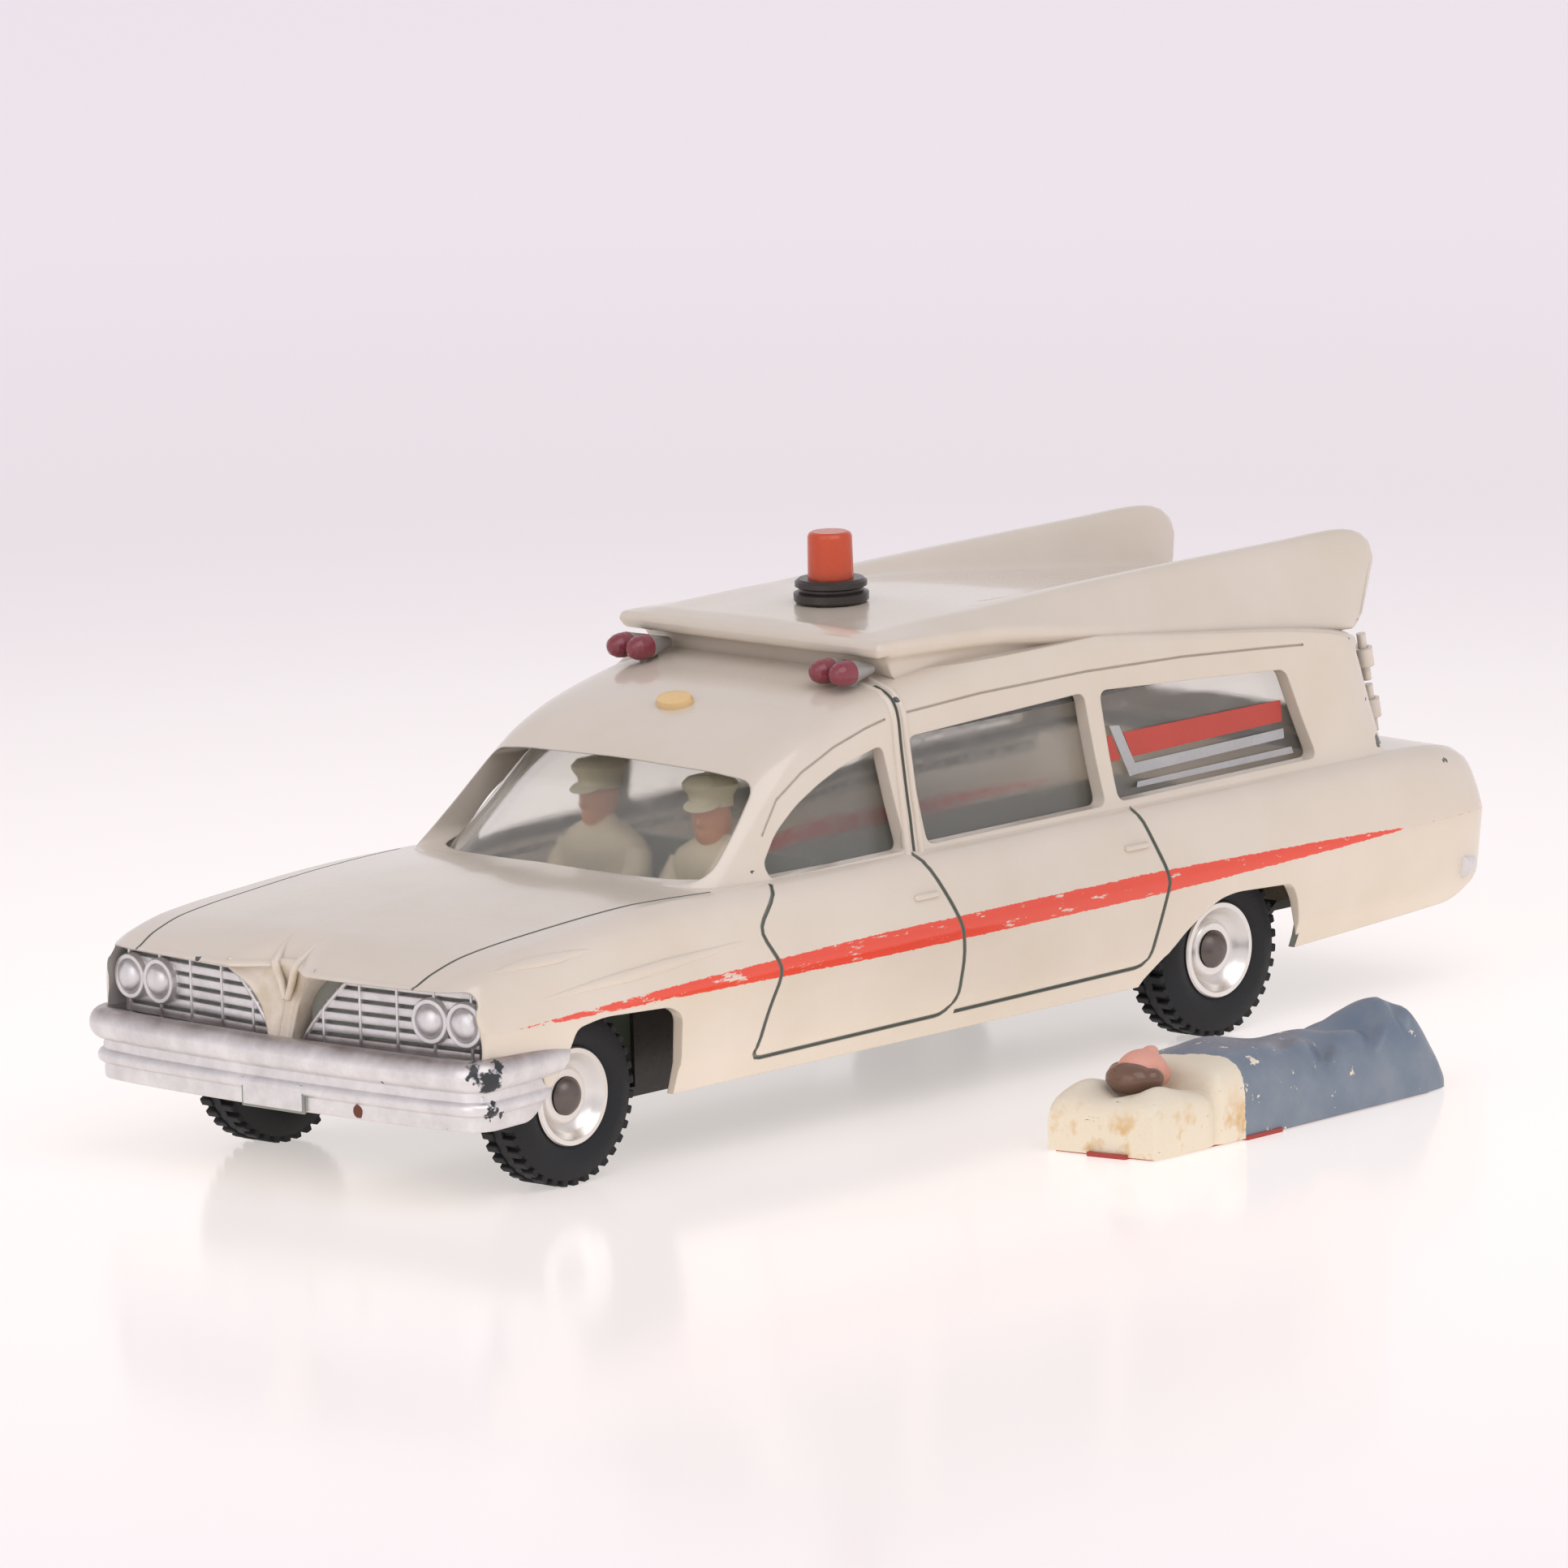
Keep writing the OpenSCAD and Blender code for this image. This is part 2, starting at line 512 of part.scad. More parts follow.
// Small features cast with the body
handle_l = 2.2;
handle_d = 0.6;
handle_z_share = 0.80;
handle_x_shares = [0.436, 0.639];
handle_y_share = 0.955;
module door_handles() {
    for (side = [1, -1], share = handle_x_shares) hull() {
        for (end = [0, 1]) translate([body_x(share) + end * handle_l, side * handle_y_share * half_w,
                                     sill_z + handle_z_share * (belt_z - sill_z)]) sphere(d = handle_d, $fn = 8);
    }
}

// Posts that the base is riveted to
front_post_back = 10.5;
front_post_x = front_axle_x - front_post_back;
rear_post_share = 0.945;
rear_post_x = body_x(rear_post_share);
post_d = 4.4;
base_top_z = base_clear + base_t;
post_top_z = belt_z + wall / 2;
base_kick = 3.4;
module posts() {
    translate([front_post_x, 0, base_top_z]) cylinder(d = post_d, h = post_top_z - base_top_z, $fn = 16);
    translate([rear_post_x, 0, base_top_z + base_kick])
        cylinder(d = post_d, h = belt_z - base_top_z - base_kick - wall, $fn = 16);
}

// Rear door plane

rear_top_share = 0.984;
rear_top_rise_share = 0.590;
door_lean = atan((rear_top_share - 1) * cabin_l / (rear_top_rise_share * (cabin_top_z - belt_z)));
door_foot = 0.9;
// The door's own frame: X out of the car, Y to the left, Z up the slope, origin at its foot on the outer face
module door_frame() {
    translate([cabin_x(1), 0, belt_z]) rotate([0, -door_lean, 0]) translate([0, 0, door_foot]) children();
}
knuckle_wall = 0.4;
knuckle_d = pin_d + 2 * knuckle_wall;
knuckle_back = 0.13;
pin_y = door_w / 2 + door_gap + knuckle_back + knuckle_d / 2;
pin_x = -knuckle_d / 2;
knuckle_l = 1.6;
knuckle_places_shares = [0.22, 0.74];
door_round = 1.2;
module doorway_cut() {
    door_frame() translate([-over, 0, 0]) along_x(0, over + 3 * wall) offset(delta = door_gap)
        rounded(door_round) translate([-door_w / 2, 0]) square([door_w, door_h]);
}
// Knuckles on the body sit above and below each knuckle of the door
module body_knuckles() {
    door_frame() for (share = knuckle_places_shares, end = [-1, 1])
        translate([pin_x, pin_y, share * door_h + end * (knuckle_l / 2 + free_gap / 2 + knuckle_l / 4)])
        difference() {
            hull() {
                cylinder(d = knuckle_d, h = knuckle_l / 2, center = true, $fn = 16);
                translate([-pin_x + wall / 2, 0, 0]) cube([wall, knuckle_d, knuckle_l / 2], center = true);
            }
            cylinder(d = pin_d + 2 * seat_fit, h = knuckle_l, center = true, $fn = 16);
        }
}

// Seats of the roof fittings

beacon_x_share = 0.165;
beacon_x = roof_lip_x - beacon_x_share * roof_l;
stud_x_share = 0.210;
stud_x = cabin_x(stud_x_share);
roof_lamp_reach = 0.6;
roof_lamp_x = roof_lip_x + roof_lamp_reach;
// Heights of the flat seats cast on the roof
beacon_seat_h = 0.05;
beacon_seat_z = roof_z + beacon_seat_h;
stud_seat_share = 0.835;
stud_seat_z = cabin_z(stud_seat_share);
lamp_seat_share = 0.955;
lamp_seat_z = cabin_z(lamp_seat_share);
stud_w_share = 0.68;
stud_w = stud_w_share * stud_l;
seat_d = 1.6;
spigot_d = 1.1;
spigot_l = 1.5;
module roof_seats() {
    translate([beacon_x, 0, beacon_seat_z - wall]) cylinder(d = beacon_base_d, h = wall, $fn = 24);
    translate([stud_x, 0, stud_seat_z - 2 * wall]) cylinder(d = stud_w, h = 2 * wall, $fn = 16);
    for (side = [1, -1]) translate([roof_lamp_x, side * roof_lamp_gap / 2, lamp_seat_z - 2 * wall])
        cylinder(d = seat_d, h = 2 * wall, $fn = 16);
}
// Flats that let each fitting sit level on the sloping roof
module seat_flats() {
    translate([stud_x, 0, stud_seat_z]) linear_extrude(spigot_l) offset(delta = seat_fit) stud_outline();
    for (side = [1, -1]) translate([roof_lamp_x, side * roof_lamp_gap / 2, lamp_seat_z])
        cylinder(d = seat_d + 2 * seat_fit, h = lamp_lift, $fn = 16);
}
module roof_holes() {
    for (seat = [[beacon_x, 0, beacon_seat_z], [stud_x, 0, stud_seat_z],
                 [roof_lamp_x, roof_lamp_gap / 2, lamp_seat_z], [roof_lamp_x, -roof_lamp_gap / 2, lamp_seat_z]])
        translate([seat[0], seat[1], seat[2] - spigot_l])
            cylinder(d = spigot_d + 2 * seat_fit, h = spigot_l + over, $fn = 16);
}

cavity_nose_share = 0.045;
cavity_tail_share = 0.986;
module body_shell() {
    color(cream) seated() union() {
        difference() {
            union() {
                body_form(0, 0, 1);
                cabin_form(0);
                roof_form();
                roof_seats();
            }
            body_form(wall, cavity_nose_share, cavity_tail_share);
            cabin_form(wall);
            window_cuts();
            lower_nose_cut();
            arch_cuts();
            wheel_wells();
            lower_cuts();
            shut_lines();
            pocket_cuts();
            doorway_cut();
            seat_flats();
            roof_holes();
        }
        posts();
        difference() {
            front_bumper();
            arch_cuts();
            wheel_wells();
        }
        grille();
        prow();
        rear_bumper();
        door_handles();
        body_knuckles();
    }
}

// Glazing: one clear moulding inside the cabin walls, open at the rear for the door

glass_t = 0.7;
glass_gap = 0.2;
// Rows of the cabin that the glazing spans, and its rear end along the cabin
glass_row_shares = [-0.03, 0.12, 0.28, 0.45, 0.62, 0.76];
glass_end_share = 0.90;
function glass_path(row, inset) =
    let (half = cabin_front(row, inset), y = half[len(half) - 1][1], z = half[0][2])
    let (left = concat(half, [[cabin_x(glass_end_share), y, z]]))
    concat([for (i = [len(left) - 1 : -1 : 1]) [left[i][0], -left[i][1], left[i][2]]], left);
function level(points, z) = [for (p = points) [p[0], p[1], z]];
module window_glazing() {
    out = wall + glass_gap;
    color("#c9d2cf", 0.4) seated() loft([for (k = glass_row_shares)
        let (row = row_at(cabin_shares, k), outer = glass_path(row, out), inner = glass_path(row, out + glass_t))
        concat(level(outer, outer[0][2]), [for (i = [len(inner) - 1 : -1 : 0]) [inner[i][0], inner[i][1], outer[0][2]]])]);
}

// Interior moulding, crew and steering wheel

// Heights of the floor, the seat and the rear deck, and the thickness of the moulding
tray_t = 1.2;
seat_rise = 8;
seat_z = base_top_z + seat_rise;
seat_back_drop = 0.4;
seat_back_z = belt_z - seat_back_drop;
deck_z = tyre_d + tray_t + free_gap;
dash_z = belt_z - wall - tray_t;
// Places along the cabin from the windscreen foot
dash_share = 0.075;
wheel_share = 0.100;
seat_front_share = 0.135;
seat_rear_share = 0.235;
deck_rear_share = 0.955;
leg_share = 0.40;
module interior_tray() {
    floor_z = base_top_z + tray_t;
    front = cabin_x(0);
    outline = [[front, base_top_z], [front, dash_z], [cabin_x(dash_share), dash_z], [cabin_x(dash_share), floor_z],
               [cabin_x(seat_front_share), floor_z], [cabin_x(seat_front_share), seat_z],
               [cabin_x(seat_rear_share), seat_z], [cabin_x(seat_rear_share) - tray_t / 2, seat_back_z],
               [cabin_x(seat_rear_share) - tray_t, seat_back_z], [cabin_x(seat_rear_share) - tray_t, deck_z],
               [cabin_x(deck_rear_share), deck_z], [cabin_x(deck_rear_share), deck_z - tray_t],
               [cabin_x(leg_share), deck_z - tray_t], [cabin_x(leg_share), base_top_z]];
    color("#6f7c71") seated() difference() {
        both_sides(0, tray_w / 2) polygon(outline);
        steering_column(column_d + 2 * seat_fit);
    }
}
column_d = 1;
column_rake = 25;
wheel_d = 6;
rim_d = 0.8;
// The steering wheel's place on its raked column
module at_wheel() {
    translate([cabin_x(wheel_share), crew_gap / 2, dash_z - column_d]) rotate([0, -90 + column_rake, 0]) children();
}
module steering_column(d) {
    at_wheel() translate([0, 0, -wheel_d]) cylinder(d = d, h = wheel_d);
}
column_l = 4.2;
module steering_wheel() {
    color("#5b6560") seated() at_wheel() {
        rotate_extrude() translate([wheel_d / 2 - rim_d / 2, 0]) circle(d = rim_d);
        for (i = [0, 1]) rotate([0, 0, i * 90]) cube([wheel_d - rim_d, rim_d / 2, rim_d / 2], center = true);
        translate([0, 0, -column_l]) cylinder(d = column_d, h = column_l);
    }
}
// A crew member: seated half figure with a peaked cap
hip_w = 5;
chest_w = 7.2;
chest_t = 3.4;
neck_d = 2.2;
head_d = 3.9;
cap_d = 4.6;
cap_h = 1.5;
arm_d = 1.9;
wrist_d = 1.6;
// Forward lean from hips to head, and the places of the joints up the figure
lean = 1.5;
hip_share = 0.06;
hand_share = 0.25;
elbow_share = 0.20;
chest_share = 0.40;
neck_share = 0.58;
head_share = 0.74;
// Chin, cap band and peak on the head
chin_shares = [0.12, -0.32];
chin_d_share = 0.60;
band_z_share = 0.22;
band_h_share = 0.60;
crown_h_share = 0.40;
peak_shares = [[0.30, 0.22], [0.45, 0.16]];
peak_w_share = 0.75;
peak_t_share = 0.20;
crew_x_share = 0.185;
crew_x = cabin_x(crew_x_share);
module limb(a, b, a_d, b_d) {
    hull() {
        translate(a) sphere(d = a_d, $fn = 8);
        translate(b) sphere(d = b_d, $fn = 8);
    }
}
module chest() {
    for (side = [1, -1]) translate([0, side * (chest_w - chest_t) / 2, chest_share * crew_h]) sphere(d = chest_t, $fn = 10);
}
module capped_head() {
    hull() {
        sphere(d = head_d, $fn = 12);
        translate([chin_shares[0] * head_d, 0, chin_shares[1] * head_d]) sphere(d = chin_d_share * head_d, $fn = 8);
    }
    translate([0, 0, band_z_share * head_d]) {
        cylinder(d = head_d, h = band_h_share * cap_h, $fn = 12);
        hull() {
            translate([0, 0, band_h_share * cap_h]) cylinder(d = head_d, h = crown_h_share * cap_h / 2, $fn = 12);
            translate([0, 0, cap_h - crown_h_share * cap_h / 2]) cylinder(d = cap_d, h = crown_h_share * cap_h, $fn = 12);
        }
    }
    hull() for (place = peak_shares) translate([place[0] * head_d, 0, place[1] * head_d])
        cylinder(d = peak_w_share * head_d, h = peak_t_share * cap_h, $fn = 10);
}
module crew_member(reach) {
    shoulder = [0, chest_w / 2 - arm_d / 3, chest_share * crew_h + arm_d / 2];
    elbow = [arm_d, chest_w / 2, elbow_share * crew_h];
    hand = [reach, chest_w / 2 - arm_d, hand_share * crew_h];
    neck = [lean / 2, 0, neck_share * crew_h];
    head = [lean, 0, head_share * crew_h];
    translate([crew_x, 0, seat_z + seat_fit]) {
        hull() {
            cylinder(d = hip_w, h = hip_share * crew_h, $fn = 12);
            chest();
        }
        hull() {
            chest();
            translate(neck) sphere(d = neck_d, $fn = 8);
        }
        limb(neck, head, neck_d, neck_d);
        for (side = [0, 1]) mirror([0, side, 0]) {
            limb(shoulder, elbow, arm_d, arm_d);
            limb(elbow, hand, arm_d, wrist_d);
        }
        translate(head) capped_head();
    }
}
driver_reach = 4.2;
attendant_reach = 3;
module driver() { color("#d8c9a4") seated() translate([0, crew_gap / 2, 0]) crew_member(driver_reach); }
module attendant() { color("#d8c9a4") seated() translate([0, -crew_gap / 2, 0]) crew_member(attendant_reach); }

// Base, its rivets, and the steering front axle

base_front_reach = 4.2;
base_front_x = front_axle_x + base_front_reach;
kick_gap = 1;
kick_l = 5;
kick_from_x = rear_axle_x - tyre_r - kick_gap;
kick_to_x = kick_from_x - kick_l;
base_rear_x = rear_post_x - post_d / 2;
// Room between the base and the wheels, and between a wheel and its axle lug
wheel_room = 0.6;
lug_gap = 1.25;
lug_l = 3.2;
lug_w = 4.4;
lug_y = track / 2 - tyre_w / 2 - lug_gap - lug_l;
flange_h = 6.5;
flange_front_x = cabin_x(0) + tray_t;
flange_rear_x = cabin_x(leg_share);
rivet_shank_share = 0.55;
rivet_shank_d = rivet_shank_share * rivet_d;
pivot_back = 3.6;
pivot_x = front_axle_x - pivot_back;
pivot_d = 1.6;
pivot_head_d = 2.4;
module baseplate() {
    rise = base_kick;
    outline = [[base_front_x, base_clear], [base_front_x, base_top_z], [kick_from_x, base_top_z],
               [kick_to_x, base_top_z + rise], [base_rear_x, base_top_z + rise], [base_rear_x, base_clear + rise],
               [kick_to_x + base_t / 2, base_clear + rise], [kick_from_x + base_t / 2, base_clear]];
    color(black) seated() difference() {
        union() {
            both_sides(0, base_w / 2) polygon(outline);
            both_sides(base_w / 2 - base_t / 2, base_w / 2)
                polygon([[flange_front_x, base_top_z], [flange_front_x, base_top_z + flange_h],
                         [flange_rear_x, base_top_z + flange_h], [flange_rear_x, base_top_z]]);
            both_sides(lug_y, lug_y + lug_l)
                polygon([[rear_axle_x + lug_w / 2, base_top_z], [rear_axle_x + axle_d, tyre_r + axle_d],
                         [rear_axle_x - axle_d, tyre_r + axle_d], [rear_axle_x - lug_w / 2, base_top_z]]);
        }
        translate([rear_axle_x, base_w / 2 + over, tyre_r]) rotate([90, 0, 0])
            cylinder(d = axle_d + 2 * seat_fit, h = base_w + 2 * over);
        base_hole(front_post_x, base_clear, rivet_shank_d, rivet_d);
        base_hole(rear_post_x, base_clear + rise, rivet_shank_d, rivet_d);
        base_hole(pivot_x, base_clear, pivot_d, pivot_head_d);
        for (x = [front_axle_x, rear_axle_x]) both_sides(track / 2 - tyre_w / 2 - wheel_room, half_w)
            translate([x - tyre_r - wheel_room, 0]) square([2 * (tyre_r + wheel_room), belt_z]);
    }
}
// Heads are sunk level with the underside of the base
rivet_head_h = 0.45;
module base_hole(x, z, shank_d, head_d) {
    translate([x, 0, z - over]) cylinder(d = shank_d + 2 * seat_fit, h = 2 * over + base_t);
    translate([x, 0, z - over]) cylinder(d = head_d + 2 * seat_fit, h = over + rivet_head_h + seat_fit);
}
module rivet(x, z) {
    translate([x, 0, z + seat_fit]) {
        cylinder(d = rivet_d, h = rivet_head_h - seat_fit);
        cylinder(d = rivet_shank_d, h = base_t - seat_fit);
    }
}
module base_rivets() {
    color(silver) seated() {
        rivet(front_post_x, base_clear);
        rivet(rear_post_x, base_clear + base_kick);
    }
}
block_l = 20;
block_h = 3.4;
block_rear = 5.4;
block_front = 1.9;
block_gap = 0.15;
module steering_block() {
    z = base_top_z + block_gap;
    color("#3a3b3c") seated() difference() {
        union() {
            translate([front_axle_x - block_front, -block_l / 2, z]) cube([2 * block_front, block_l, block_h]);
            translate([front_axle_x - block_rear, -block_l / 5, z]) cube([block_rear, block_l * 2 / 5, block_h]);
        }
        translate([front_axle_x, block_l, tyre_r]) rotate([90, 0, 0]) cylinder(d = axle_d + 2 * seat_fit, h = 2 * block_l);
        translate([pivot_x, 0, 0]) cylinder(d = pivot_d + 2 * run_fit, h = belt_z);
    }
}
module steering_pivot() {
    top = base_top_z + 2 * block_gap + block_h;
    color(silver) seated() translate([pivot_x, 0, 0]) {
        translate([0, 0, base_clear + seat_fit]) {
            cylinder(d = pivot_head_d, h = rivet_head_h - seat_fit);
            cylinder(d = pivot_d, h = top - base_clear - seat_fit);
        }
        translate([0, 0, top]) cylinder(d1 = pivot_head_d, d2 = pivot_d, h = rivet_head_h);
    }
}

// Wheels

hub_face_drop = 0.1;
hub_back_drop = 0.3;
hub_face = tyre_w / 2 - hub_face_drop;
hub_back = tyre_w / 2 - hub_back_drop;
boss_d = 4.6;
boss_drop = 0.85;
boss_face = hub_face - boss_drop;
head_gap = 0.12;
// A turned piece on the wheel's own axis, its outer side up
module on_wheel(x, side) {
    seated() translate([x, side * track / 2, tyre_r]) rotate([-90 * side, 0, 0]) children();
}
module axle(x) {
    reach = track / 2 + boss_face + head_gap;
    color("#5a5552") seated() translate([x, 0, tyre_r]) {
        rotate([90, 0, 0]) cylinder(d = axle_d, h = 2 * reach + axle_d / 4, center = true);
        for (side = [1, -1]) translate([0, side * reach, 0]) rotate([-90 * side, 0, 0]) axle_head();
    }
}
head_h = 0.85;
// A dome cut from a sphere that meets the head's edge
module axle_head() {
    r = axle_head_d / 2;
    ball_r = (r * r + head_h * head_h) / (2 * head_h);
    intersection() {
        translate([0, 0, head_h - ball_r]) sphere(r = ball_r);
        cylinder(r = r, h = head_h);
    }
}
module front_axle() { axle(front_axle_x); }
module rear_axle() { axle(rear_axle_x); }
rim_w = 0.55;
dish_d = 0.7;
module hub(x, side) {
    r = hub_d / 2;
    bore = axle_d / 2 + run_fit;
    color("#c8c6c2") on_wheel(x, side) rotate_extrude()
        polygon([[bore, -hub_back], [r, -hub_back], [r, hub_face], [r - rim_w, hub_face],
                 [r - rim_w - dish_d / 2, hub_face - dish_d], [boss_d / 2 + dish_d / 3, boss_face - dish_d / 2],
                 [boss_d / 2, boss_face], [bore, boss_face]]);
}
lug_d = 0.5;
groove_w = 0.5;
rib_h = 0.3;
bead_share = 0.80;
// Share of each lug's pitch that its top and its foot take up
lug_top_share = 0.40;
lug_foot_share = 0.56;
lug_shares = [-lug_foot_share, -lug_top_share, lug_top_share, lug_foot_share];
module tyre(x, side) {
    bore = hub_d / 2 + seat_fit;
    core = tyre_r - lug_d;
    belly = (bore + core) / 2;
    h = tyre_w / 2;
    pitch = 360 / tyre_lugs;
    color("#2b2d30") on_wheel(x, side) union() {
        rotate_extrude()
            polygon([[bore, -bead_share * h], [belly, -h], [core, -bead_share * h], [core, -groove_w],
                     [core + rib_h, -groove_w], [core + rib_h, groove_w], [core, groove_w],
                     [core, bead_share * h], [belly, h], [bore, bead_share * h]]);
        for (end = [0, 1]) mirror([0, 0, end]) translate([0, 0, groove_w]) linear_extrude(bead_share * h - groove_w)
            difference() {
                polygon([for (i = [0 : tyre_lugs - 1], j = [0 : 3])
                         let (a = (i + lug_shares[j] / 2) * pitch, r = j == 1 || j == 2 ? tyre_r : core)
                         [r * cos(a), r * sin(a)]]);
                circle(r = core - lug_d);
            }
    }
}
module hub_front_left() { hub(front_axle_x, 1); }
module hub_front_right() { hub(front_axle_x, -1); }
module hub_rear_left() { hub(rear_axle_x, 1); }
module hub_rear_right() { hub(rear_axle_x, -1); }
module tyre_front_left() { tyre(front_axle_x, 1); }
module tyre_front_right() { tyre(front_axle_x, -1); }
module tyre_rear_left() { tyre(rear_axle_x, 1); }
module tyre_rear_right() { tyre(rear_axle_x, -1); }

// Rear door, hinged on the left

door_frame_w = 2.6;
door_rail_w = 1.8;
door_handle_t = 0.6;
door_handle_w = 0.9;
door_handle_share = 0.40;
// The glass stands in the middle of the door's thickness
glass_sheet_share = 0.4;
pin_over = 0.3;
module rear_door() {
    color(cream) seated() door_frame() difference() {
        union() {
            along_x(0, door_t) rounded(door_round) translate([-door_w / 2, 0]) square([door_w, door_h]);
            for (share = knuckle_places_shares) translate([0, 0, share * door_h - knuckle_l / 2]) {
                translate([pin_x, pin_y, 0]) cylinder(d = knuckle_d, h = knuckle_l);
                translate([pin_x - knuckle_d / 2 + run_fit, door_w / 2 - knuckle_d, 0])
                    cube([knuckle_d / 2 - run_fit, pin_y - door_w / 2 + knuckle_d, knuckle_l]);
                translate([pin_x - knuckle_d / 2 + run_fit, door_w / 2 - knuckle_d, 0])
                    cube([knuckle_d, knuckle_d, knuckle_l]);
            }
            translate([-door_handle_t, -door_w / 2 + door_handle_w, door_handle_share * door_h])
                cube([door_t, door_handle_w, handle_l]);
        }
        along_x(-over, door_t + over) door_window(0);
        for (share = knuckle_places_shares) translate([pin_x, pin_y, share * door_h - knuckle_l])
            cylinder(d = pin_d + 2 * run_fit, h = 2 * knuckle_l);
    }
}
module door_window(gap) {
    offset(delta = -gap) rounded(door_round)
        translate([-door_w / 2 + door_frame_w, door_rail_w])
            square([door_w - 2 * door_frame_w, door_h - 2 * door_rail_w]);
}
module rear_door_glass() {
    color("#c9d2cf", 0.4) seated() door_frame()
        along_x((1 - glass_sheet_share) * door_t / 2, (1 + glass_sheet_share) * door_t / 2) door_window(seat_fit);
}
module rear_door_pin() {
    color(silver) seated() door_frame() for (share = knuckle_places_shares)
        translate([pin_x, pin_y, share * door_h - knuckle_l - free_gap / 2 - pin_over])
            cylinder(d = pin_d, h = 2 * knuckle_l + free_gap + 2 * pin_over);
}

// Roof fittings

spigot_gap = 0.2;
// Turned base: radius and height, from the seat up
beacon_base_shares = [[0.94, 0], [1, 0.10], [1, 0.40], [0.86, 0.50], [0.86, 0.60], [0.96, 0.68], [0.96, 0.88], [0.86, 1]];
beacon_lens_shares = [[1, 0], [0.97, 0.90], [0.90, 0.97], [0.78, 1]];
// A turned solid from a table of radii and heights
module turned(shares, r, h) {
    rotate_extrude() polygon(concat([[0, 0]], [for (s = shares) [s[0] * r, s[1] * h]], [[0, h]]));
}
module beacon_base() {
    color("#2e2a28") seated() translate([beacon_x, 0, beacon_seat_z]) {
        turned(beacon_base_shares, beacon_base_d / 2, beacon_base_h);
        translate([0, 0, spigot_gap - spigot_l]) cylinder(d = spigot_d, h = spigot_l);
    }
}
module beacon_lens() {
    color("#e0481c") seated() translate([beacon_x, 0, beacon_seat_z + beacon_base_h])
        turned(beacon_lens_shares, beacon_d / 2, beacon_h);
}
// Two lamps side by side that point forward: a cone behind each bullet lens
lamp_half_share = 0.53;
lamp_lift_share = 0.62;
lamp_half = lamp_half_share * roof_lamp_d;
lamp_lift = lamp_lift_share * roof_lamp_d;
cone_tail_share = 0.45;
lens_l = 2.1;
// Bullet lens: radius and place along it from the cone
lens_shares = [[1, 0], [1, 0.35], [0.92, 0.60], [0.70, 0.84], [0.38, 0.97], [0.12, 1]];
module on_roof_lamp(side) {
    seated() translate([roof_lamp_x, side * roof_lamp_gap / 2, lamp_seat_z]) children();
}
module roof_lamp(side) {
    color("#8f8b88") on_roof_lamp(side) {
        for (end = [1, -1]) translate([-roof_lamp_l / 2, end * lamp_half, lamp_lift]) rotate([0, 90, 0])
            cylinder(d1 = roof_lamp_d * cone_tail_share, d2 = roof_lamp_d, h = roof_lamp_l);
        cylinder(d = seat_d, h = lamp_lift);
        translate([0, 0, spigot_gap - spigot_l]) cylinder(d = spigot_d, h = spigot_l);
    }
}
module roof_lamp_lens(side) {
    color("#8c2f3c") on_roof_lamp(side) for (end = [1, -1])
        translate([roof_lamp_l / 2, end * lamp_half, lamp_lift]) rotate([0, 90, 0])
            turned(lens_shares, roof_lamp_d / 2, lens_l);
}
module roof_lamp_left() { roof_lamp(1); }
module roof_lamp_right() { roof_lamp(-1); }
module roof_lamp_lens_left() { roof_lamp_lens(1); }
module roof_lamp_lens_right() { roof_lamp_lens(-1); }
stud_h = 0.7;
module stud_outline() {
    hull() for (end = [1, -1]) translate([0, end * (stud_l - stud_w) / 2]) circle(d = stud_w, $fn = 24);
}
module roof_stud() {
    color("#ddc9a0") seated() translate([stud_x, 0, stud_seat_z]) {
        linear_extrude(stud_h) stud_outline();
        translate([0, 0, spigot_gap - spigot_l]) cylinder(d = spigot_d, h = spigot_l);
    }
}

// Patient on the stretcher, beside the car

patient_head_x = 14;
stretcher_t = 0.5;
stretcher_round = 0.8;
module stretcher() {
    head = patient_w / 2;
    foot = patient_foot_w / 2;
    color("#b8362f") seated() translate([patient_head_x, patient_y, 0]) linear_extrude(stretcher_t)
        rounded(stretcher_round) polygon([[0, head], [-patient_l, foot], [-patient_l, -foot], [0, -head]]);
}
// Sections from the pillow's head end to the feet: place, half width, height and how square they are
patient_shares = [
    [0.010, 0.940, 0.56, 0.30], [0.050, 0.975, 0.72, 0.34], [0.120, 0.980, 0.76, 0.38], [0.200, 0.985, 0.74, 0.42],
    [0.255, 0.985, 0.86, 0.50], [0.320, 0.985, 0.97, 0.55], [0.420, 0.980, 0.93, 0.58], [0.540, 0.975, 0.80, 0.60],
    [0.680, 0.970, 0.75, 0.62], [0.745, 0.970, 0.87, 0.64], [0.810, 0.970, 0.93, 0.66], [0.870, 0.965, 0.84, 0.66],
    [0.940, 0.960, 0.56, 0.66], [0.985, 0.930, 0.20, 0.66]];
patient_steps = 10;
function patient_x(share) = patient_head_x - share * patient_l;
// One cross-section, from its right foot over the top to its left foot
function patient_rib(row) =
    let (w = row[1] * (patient_w + row[0] * (patient_foot_w - patient_w)) / 2, h = row[2] * (patient_h - stretcher_t))
    [for (i = [0 : patient_steps]) let (a = 180 * i / patient_steps, c = cos(a))
     [patient_x(row[0]), patient_y - sign(c) * w * pow(abs(c), row[3]), stretcher_t + h * pow(max(sin(a), 0), row[3])]];
patient_head_share = 0.165;
patient_head_d = 4.2;
patient_head_lift_share = 0.72;
module patient() {
    color("#4f6478") seated() union() {
        loft([for (k = keys(patient_shares, 2)) patient_rib(row_at(patient_shares, k))]);
        translate([patient_x(patient_head_share), patient_y, patient_head_lift_share * patient_h])
            sphere(d = patient_head_d, $fn = 12);
    }
}

